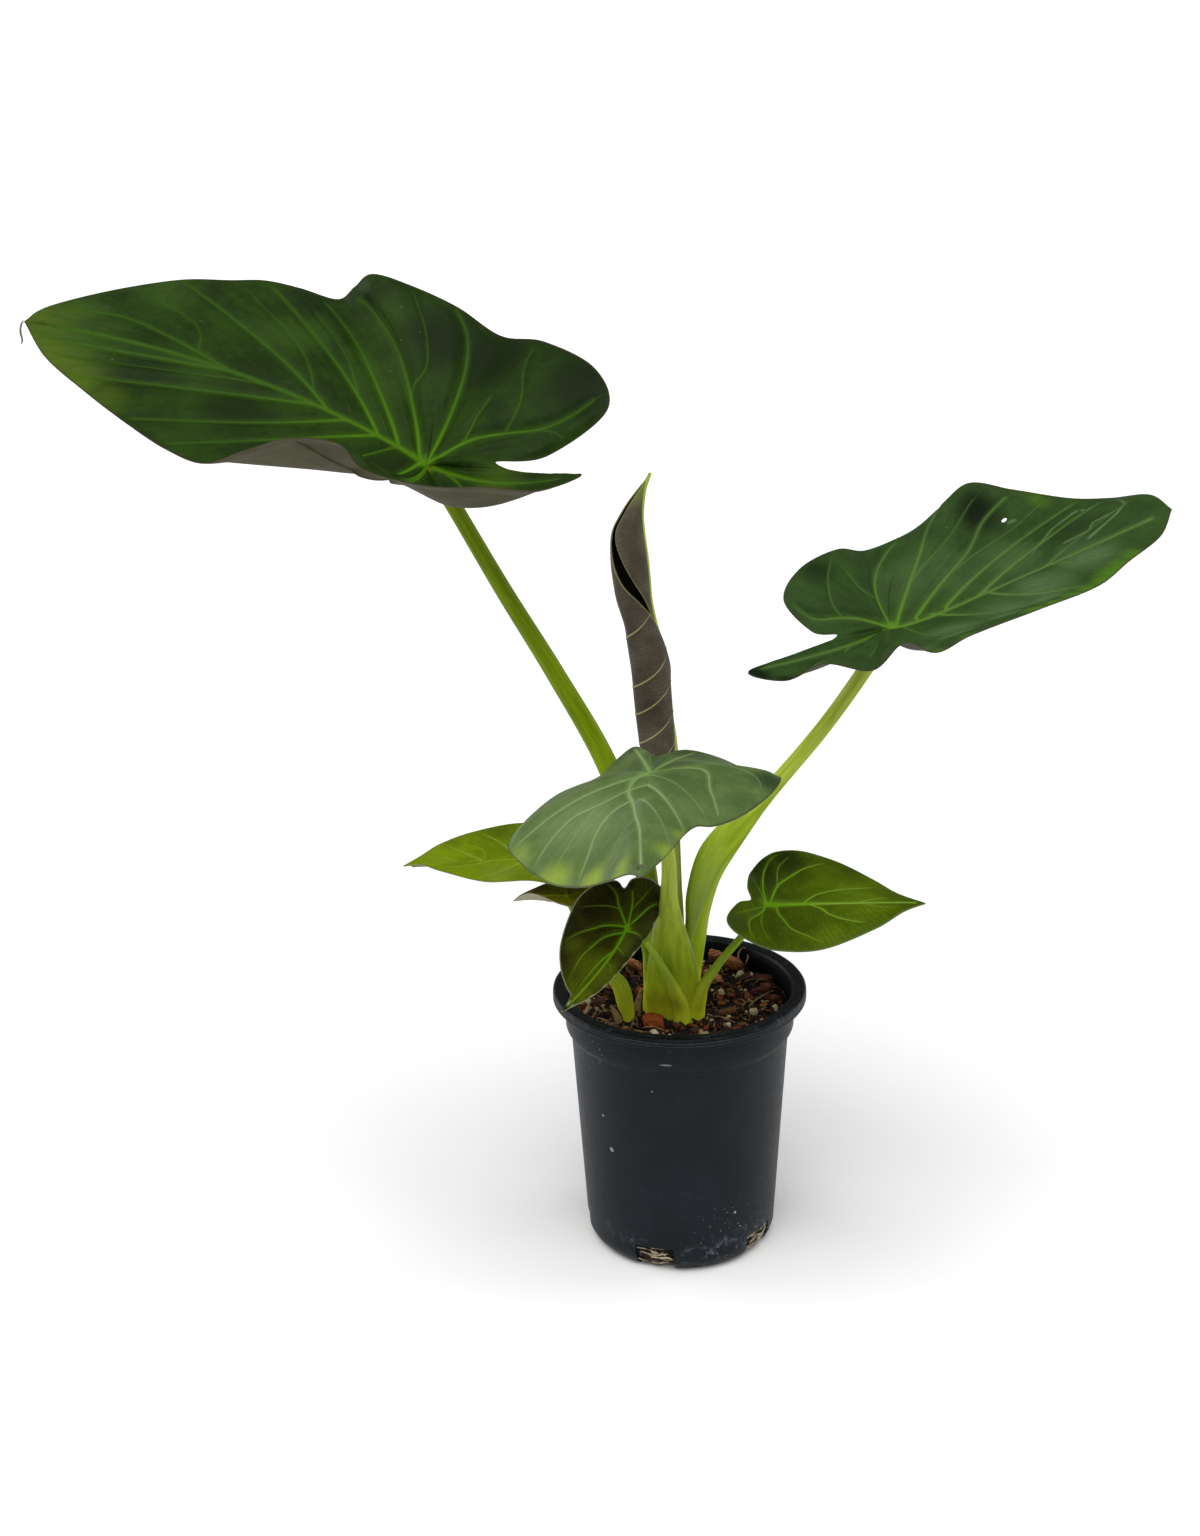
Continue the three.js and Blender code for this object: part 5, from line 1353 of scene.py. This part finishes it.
sheets = {}
for name in LEAVES:
    look = look_of(name)
    points, triangles, facts, patches = blade_sheet(name, look)
    main, fine, mid, t, number, edge, heart, _ = facts.T
    sheets[name] = (points, normals_of(points, triangles))
    ridge = VEIN_DEEP * look["vein_half"] * np.exp(-main**2) + RIB_DEEP * look["rib_half"] * np.exp(-(mid**2))
    below = BLADE_HALF + ridge * smooth(edge, 0, RIDGE_FADE)
    solid, faces = thickened(points, triangles, np.full(len(points), BLADE_HALF), below)
    held = {
        "ribs": doubled(*np.clip([main, fine, mid], -CLOSE, CLOSE)),
        "lie": doubled(t, number, 0 * t),
        "reach": doubled(edge, heart * MM, 0 * t),
        "patch": doubled(*patches.T),
    }
    held["lie"][len(points):, 2] = 1
    skin = finish(name + "_leaf_skin", leaf_paint(look), Specular_IOR_Level=look["sheen"])
    piece(name + "_blade", solid, faces, skin, f"leaf_{name}_blade", facts=held, sharp=BLADE_SHARP)


# Drip tip: the upper left leaf ends in a withered thread that hangs from its point.
# It is the leaf's own tissue, dried out.
DRIP_TIP = [(0, 0, 1), (-2, 0, -1.5), (-3, 0, -6), (-2.4, 0, -11), (-3.2, 0, -14)]


def dry_tip_paint(start):
    """Dried tissue: grey-green, blotched brown."""
    blotch = start.place().noise(400, 2)
    base = blotch.step(0.4, 0.65).blend(shade("7c8468"), shade("6a5a40"))
    return {"Base_Color": base, "Roughness": 0.6 + 0.2 * blotch, "Normal": blotch.relief(0.0003, 0.5)}


leaf = LEAVES["upper_left"]
leaf_end = np.array(leaf["tip"], float) @ leaf_frame(*leaf["turn"]) + np.array(leaf["joint"])
dry_tip = finish("dry_tip", dry_tip_paint, Specular_IOR_Level=0.2)
strands("upper_left_drip_tip", [(np.array(DRIP_TIP, float) + leaf_end, 0.7)], dry_tip, 16, 8)


# Newest leaf: a blade still rolled round its midrib, which shows as a yellow-green edge on the
# right. Its grey-brown lower face is outside, with pale side veins that climb as they go round.
ROLL_GROWTH = 0.2
ROLL_LEVELS = 230
ROLL_STEPS = 150
ROLL_RIB_HALF = 1.9
ROLL_RIB_DEEP = 1.1
ROLL_VEIN_DEEP = 0.35
# Rows of height, x and y of the middle, radius, and the angles of the inner and outer margin
ROLL = [
    (322, -11, 3, 8, 60, 300), (333, -12, 3, 10, 34, 326), (350, -13.2, 3, 11.2, 26, 334),
    (372, -15, 3, 11.6, 24, 336), (386, -16, 3, 11.6, 22, 338), (396, -17, 3, 11.6, -10, 350),
    (408, -19.3, 3, 11, -15, 350), (421, -22, 3, 10, -20, 335), (437, -25.8, 3, 10.8, -45, 290),
    (449, -27.2, 3, 11.4, -80, 240), (464, -28.5, 3, 11.4, -120, 205), (480, -29, 3, 9.8, -160, 185),
    (492, -26.5, 3, 6.4, -150, 165), (506, -22, 3, 3.2, -100, 100), (516, -16.5, 3, 0.8, -40, 40),
]
# Heights at which the side veins leave the midrib
ROLL_VEINS = (315, 334, 353, 371, 403)


def rolled_sheet():
    """Sheet of the roll: at each level an arc from the inner to the outer angle, whose radius is
    the level's radius times 0.9 plus 0.2 for each full turn of the angle. Facts at its points are
    the misses of side vein and midrib in half widths, mm to the margin, angle and height. A side
    vein climbs 1 mm in 18 degrees, more past half a turn, and drops behind the midrib."""
    level = np.linspace(ROLL[0][0], ROLL[-1][0], ROLL_LEVELS + 1)
    z, x, y, radius, inner, outer = (row[:, None] for row in hermite(ROLL, level).T)
    share = np.linspace(0, 1, ROLL_STEPS + 1)
    degrees = inner + (outer - inner) * share
    spiral = radius * (1 - ROLL_GROWTH / 2 + ROLL_GROWTH * degrees / 360)
    angle = np.radians(degrees)
    points = np.stack([x + spiral * np.cos(angle), y + spiral * np.sin(angle), z + 0 * angle], axis=-1)
    from_edge = np.minimum(share, 1 - share) * np.radians(outer - inner) * radius
    climb = degrees / 18 + 13 * np.clip((degrees - 180) / 150, 0, 1.2) ** 2 - 8 * np.clip(-degrees / 90, 0, 2)
    apart = np.abs((z - climb)[..., None] - np.array(ROLL_VEINS)).min(axis=-1)
    wide = 0.95 - 0.5 * np.clip(np.abs(degrees) / 340, 0, 1)
    rib = np.abs(angle) * radius / ROLL_RIB_HALF
    facts = np.stack([apart / wide, rib, from_edge, degrees, z + 0 * angle], axis=-1)
    return points.reshape(-1, 3), facts.reshape(-1, 5)


def rolled_paint(start):
    """Rolled leaf: grey-brown with a purple cast and fine cross lines outside, near black inside where shade
    is painted on the rolled-up upper face, yellow-green on the midrib, the margins and the tip."""
    vein, rib, under = start.fact("ribs").parts()
    edge, turn, height = start.fact("reach").parts()
    place = start.place()
    cloud = place.noise(60, 4, 0.6)
    crease = (height * 2.3 - turn * 0.12 + cloud * 16.0).wave() * cloud.step(0.35, 0.65)
    outside = cloud.step(0.3, 0.7).blend(shade("3c352a"), shade("4f473a"))
    outside = (crease.step(0.2, 1.0) * 0.16).blend(outside, shade("766e60"))
    outside = (vein.step(1.4, 0.4) * turn.step(345.0, 300.0) * 0.8).blend(outside, shade("a39f6c"))
    # Painted shade: the rolled-up upper face inside is painted near black.
    inside = cloud.step(0.3, 0.8).blend(shade("0f0d08"), shade("1c1a0e"))
    base = under.step(0.35, 0.65).blend(inside, outside)
    tip = height.step(492, 508) * under
    base = (tip * 0.7).blend(base, shade("6f7d34"))
    base = (edge.step(1.1, 0.3) * 0.5).blend(base, shade("8a8c50"))
    stem = rib.step(1.5, 0.8) * under * height.step(392, 400)
    base = stem.blend(base, shade("9fb03e"))
    rough = 0.5 + 0.2 * cloud
    depth = 0.3 * crease + 0.8 * vein.step(1.8, 0.4) + cloud + place.noise(900, 2)
    return {"Base_Color": base, "Roughness": rough, "Normal": depth.relief(0.0004, 0.6)}


roll_points, roll_facts = rolled_sheet()
first, roll_triangles = weld(roll_points, grid_quads(ROLL_LEVELS + 1, ROLL_STEPS + 1))
roll_points, roll_facts = roll_points[first], roll_facts[first]
vein, rib, edge, turn, height = roll_facts.T
ridge = ROLL_VEIN_DEEP * np.exp(-(vein**2)) + ROLL_RIB_DEEP * np.exp(-(rib**2)) * smooth(height, 388, 402)
inner_half = np.full(len(roll_points), BLADE_HALF)
solid, faces = thickened(roll_points, roll_triangles, BLADE_HALF + ridge, inner_half)
held = {
    "ribs": doubled(np.minimum(vein, CLOSE), np.minimum(rib, CLOSE), 1 + 0 * rib),
    "reach": doubled(edge, turn, height),
}
held["ribs"][len(roll_points):, 2] = 0
skin = finish("rolled_leaf_skin", rolled_paint, Specular_IOR_Level=0.15)
piece("rolled_blade", solid, faces, skin, "leaf_rolled_blade", facts=held, sharp=BLADE_SHARP)


# Stalks: each leaf's own, one grown piece with its sheath. A stalk is round and fleshy above. At the
# foot it opens to a sheath that clasps the younger ones, pale at its edges, finely grooved.
STALK_SIDES = 64
STALK_STEPS = 14
STALK_SHARP = 60
FLARE = 0.4
FLARE_RUN = 0.35
DRAPE_GAP = 1.6
DRAPE_REACH = 16

# outward is the angle that the outside of a stalk faces, at its foot and its top. Rows are x, y, z,
# half width, outer depth and inner depth, and a row with one radius is round.
STALKS = {
    "rolled": {
        "outward": (-90, -90), "tones": ("a6ae52", "9aa84a", "a9b45c"),
        "rows": [
            (-3, 4, 145, 4.6), (-1.5, 3, 194, 4.2), (-0.5, 3, 223, 3.9), (-1.6, 3, 251, 3.7),
            (-2.5, 3, 300, 3.4), (-2.5, 3, 336, 3.1), (-4.6, 3, 362, 2.0), (-9, 3, 388, 1.2),
        ],
    },
    "upper_left": {
        "outward": (160, 160), "tones": ("8fa40c", "7a9004", "6b8204"),
        "rows": [
            (-4, 5, 145, 12, 11, -6.5), (-6, 5, 180, 12, 11, -6), (-12, 6, 216, 10.5, 9, -1),
            (-18, 7, 245, 8.2, 7.8, 5), (-25, 8, 271, 7.3), (-45.5, 10.5, 330, 6.8), (-76, 13, 388, 6),
            (-107, 16, 442, 5.4), (-137, 19, 497, 5), (-151, 20, 520, 4.8),
        ],
    },
    "upper_right": {
        "outward": (-15, 75), "tones": ("9cb418", "a2bc24", "acbc50"),
        "rows": [
            (0, 5, 145, 14, 13, -7.5), (1, 4, 180, 14, 13, -7), (6, 4, 213, 14, 12, -5),
            (9.5, 5, 234, 15, 11.5, -4), (19, 7, 260, 14.5, 9.5, -2), (36, 8.5, 283, 10.5, 7.5, 2),
            (57, 10, 306, 5.6), (91.5, 13.5, 347, 4.9), (118.5, 17, 385, 4.8), (134, 20, 411, 4.6),
        ],
    },
    "front": {
        "outward": (-95, -95), "tones": ("82960c", "90a422", "acba58"),
        "rows": [
            (-4, -2, 145, 20, 13, -8), (-4, -7, 171, 20, 14, -9), (-4.5, -14, 189, 17.4, 13, -7),
            (-5.5, -20, 206, 15, 11, -4.5), (-7, -28, 230, 10.5, 8, 0), (-7.5, -37, 254, 5.9, 5.6, 4),
            (-8, -50, 287, 4.6), (-13.5, -69, 325, 4.4), (-19, -86, 355, 4.2),
        ],
    },
    "low_front": {
        "outward": (-90, -90), "tones": ("8fa03a", "8aa032", "86a028"),
        "rows": [
            (1, -20, 145, 6, 5.5, 5), (0.5, -21.5, 170, 5.8, 5, 4), (-3, -27, 184, 4.3, 4, 3.5),
            (-8.5, -33, 200, 2.9), (-17, -40, 218, 2.4), (-23, -45, 230, 2.2), (-34, -50, 241, 2.2),
        ],
    },
    "low_right": {
        "outward": (-60, -60), "tones": ("8fa03a", "86a030", "80a028"),
        "rows": [
            (10, -16, 145, 6, 5.5, 5), (10.5, -18, 167, 5.5, 5, 4), (12, -20.5, 177, 4.8, 4.4, 4),
            (15, -22, 188, 3.6), (25, -23, 204, 2.7), (38, -22, 220, 2.4), (55, -20, 241, 2.3),
        ],
    },
    "left": {
        "outward": (-90, -90), "tones": ("8fa03a", "86a030", "93ac30"),
        "rows": [
            (-18, 13, 145, 3.2), (-20, 13, 163, 3), (-20.5, 14, 182, 2.7), (-22.5, 15, 201, 2.5),
            (-36, 15, 221, 2.4), (-58, 15, 242, 2.3), (-82, 15, 262, 2.2),
        ],
    },
    "offset": {
        "outward": (-90, -90), "tones": ("a3b04a", "96ac38", "90a830"),
        "rows": [
            (-33, -17, 145, 3.4), (-33.5, -17, 163, 4), (-35.5, -16, 173, 5.4), (-39, -15, 186, 5.4),
            (-50, -14, 200, 3.4), (-62, -12, 224, 2.4), (-72, -10, 246, 2),
        ],
    },
}


def stalk_rings(path, turn):
    """Rings of a stalk: on a smooth centre line, a point at angle w is the centre minus across
    times half width times cos w, plus outward times a depth times sin w. The depth is the outer
    one for the first half turn and the inner one for the second, and a negative inner depth
    hollows the section to a sheath. outward turns evenly from the first angle to the second.
    grain is a point's place in the section and along it, and lie says whether it is on a sheath's
    edge or inside it, and its share of the way up."""
    full = [row if len(row) == 6 else (*row, row[3], row[3]) for row in path]
    rows = np.column_stack([np.arange(len(full)), full])
    last = len(rows) - 1
    at = np.linspace(0, last, last * STALK_STEPS + 1)
    values = hermite(rows, at)
    centre, (wide, outer, inner) = values[:, 1:4], values[:, 4:].T
    along = hermite(rows, np.minimum(at + 0.1, last))[:, 1:4] - hermite(rows, np.maximum(at - 0.1, 0))[:, 1:4]
    along /= np.linalg.norm(along, axis=1, keepdims=True)
    facing = np.radians(np.linspace(*turn, len(at)))
    across = np.cross(along, np.stack([np.cos(facing), np.sin(facing), 0 * facing], axis=1))
    across /= np.linalg.norm(across, axis=1, keepdims=True)
    outward = np.cross(across, along)
    flare = 1 + FLARE * np.clip(1 - (last - at) / FLARE_RUN, 0, 1) ** 2
    angle = 2 * math.pi * np.arange(STALK_SIDES) / STALK_SIDES
    depth = np.where(np.sin(angle)[None] < 0, inner[:, None], outer[:, None]) * np.sin(angle)
    side = -wide[:, None] * np.cos(angle)
    ring = side[..., None] * across[:, None] + depth[..., None] * outward[:, None]
    rings = centre[:, None] + flare[:, None, None] * ring
    length = np.concatenate([[0], np.cumsum(np.linalg.norm(np.diff(centre, axis=0), axis=1))])
    hollow = np.clip(-inner / 4, 0, 1)[:, None] + 0 * angle
    lip = hollow * smooth(np.abs(np.sin(angle)), 0.22, 0.0)
    inside = hollow * (np.sin(angle) < -0.02)
    grain = np.stack([side, depth, 0.07 * length[:, None] + 0 * angle], axis=-1)
    lie = np.stack([lip, inside, (at / last)[:, None] + 0 * angle], axis=-1)
    return rings, grain, lie


def ring_caps(rows, sides):
    """Quads that close the first and last ring by strips between the two halves of the ring, so
    that a ring may be a crescent."""
    j = np.arange(sides // 2)
    left, right = (sides - j) % sides, sides - j - 1
    last = (rows - 1) * sides
    bottom = np.stack([j, left, right, j + 1], axis=1)
    top = last + np.stack([j, j + 1, right, left], axis=1)
    return np.concatenate([bottom, top])


def draped(points, sheet, joint):
    """Points near the joint moved along the blade's normal until they are under its lower face."""
    surface, normals = sheet
    near = np.linalg.norm(points - joint, axis=1) < DRAPE_REACH
    around = np.linalg.norm(surface - joint, axis=1) < 2 * DRAPE_REACH
    surface, normals = surface[around], normals[around]
    apart = points[near][:, None] - surface[None]
    nearest = (apart**2).sum(axis=2).argmin(axis=1)
    rise = ((points[near] - surface[nearest]) * normals[nearest]).sum(axis=1)
    points = points.copy()
    points[near] -= normals[nearest] * np.maximum(rise + DRAPE_GAP, 0)[:, None]
    return points


def stalk_paint(tones):
    """Fleshy skin from a pale foot through the stalk's own green to its top, with fine lengthwise
    streaks, pale sheath edges and a darker inner face."""
    foot, middle, top = map(shade, tones)

    def paint(start):
        lip, inside, run = start.fact("lie").parts()
        grain = start.fact("grain")
        streak = grain.noise(1.1, 3, 0.6)
        broad = grain.noise(0.33, 2)
        height = start.place().parts()[2]
        base = run.step(0.0, 0.45).blend(foot, middle)
        base = run.step(0.4, 0.95).blend(base, top)
        base = broad.step(0.35, 0.7).blend(base, base.times(shade("d8dcb0")))
        base = (streak.step(0.45, 0.75) * 0.14).blend(base, shade("a8b820"))
        base = (streak.step(0.5, 0.25) * 0.12).blend(base, shade("4c6008"))
        # Pale foot, partly the stalks' own tone and partly painted light against the shade of the leaves
        # above.
        base = (height.step(0.205, 0.165) * 0.95).blend(base, shade("deea34"))
        base = (inside * 0.5).blend(base, shade("88a410"))
        base = (lip * 0.5).blend(base, shade("a9b868"))
        depth = streak + 0.3 * broad
        return {"Base_Color": base, "Roughness": 0.36 + 0.2 * streak, "Normal": depth.relief(0.0005, 0.5)}
    return paint


def stalk_piece(name, path, turn, skin, node, blade=None):
    """One stalk or scale as a closed solid, its top draped under its own blade."""
    rings, grain, lie = stalk_rings(path, turn)
    points = rings.reshape(-1, 3)
    if blade in sheets:
        points = draped(points, sheets[blade], np.array(LEAVES[blade]["joint"], float))
    skin_quads = grid_quads(len(rings), STALK_SIDES, wrap=True)
    first, triangles = weld(points, np.concatenate([skin_quads, ring_caps(len(rings), STALK_SIDES)]))
    held = {"grain": grain.reshape(-1, 3)[first], "lie": lie.reshape(-1, 3)[first]}
    piece(name, points[first], triangles, skin, node, facts=held, sharp=STALK_SHARP)


for name, stalk in STALKS.items():
    skin = finish(name + "_stalk_skin", stalk_paint(stalk["tones"]), Specular_IOR_Level=0.08)
    stalk_piece(name + "_stalk", stalk["rows"], stalk["outward"], skin, f"leaf_{name}_stalk", name)


# Dry scales: two papery sheaths of the offset shoot that have died back. They stand in the mix,
# split open and curled at their tips.
# Half width, outer depth and inner depth at foot, middle and tip, then where these stand
SCALE_FOOT = (2.6, 2.4, -1.2)
SCALE_MIDDLE = (2.4, 2.2, -1.1)
SCALE_TIP = (0.8, 0.8, -0.2)
SCALES = {
    "dry_scale_right": [(-30, -13, 155), (-28, -12, 168), (-25, -12, 181)],
    "dry_scale_left": [(-38, -21, 155), (-41, -21, 166), (-45, -21, 174)],
}


def scale_paint(start):
    """Dead sheath: tan paper with dark veins, pinkish near the foot."""
    grain = start.fact("grain")
    streak = grain.noise(2.4, 4, 0.6)
    run = start.fact("lie").parts()[2]
    base = streak.step(0.3, 0.7).blend(shade("8a6a44"), shade("c9ab7c"))
    base = (run.step(0.7, 0.2) * 0.4).blend(base, shade("a98474"))
    return {"Base_Color": base, "Roughness": 0.7 + 0.2 * streak, "Normal": streak.relief(0.0006, 0.8)}


dry_sheath = finish("dry_sheath", scale_paint, Specular_IOR_Level=0.3)
for name, (foot, middle, tip) in SCALES.items():
    path = [foot + SCALE_FOOT, middle + SCALE_MIDDLE, tip + SCALE_TIP]
    stalk_piece(name + "_paper", path, (-90, -90), dry_sheath, name)


low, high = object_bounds()
sizes = {"cad": [list(cad_low), list(cad_high)], "visual": [list(low), list(high)]}
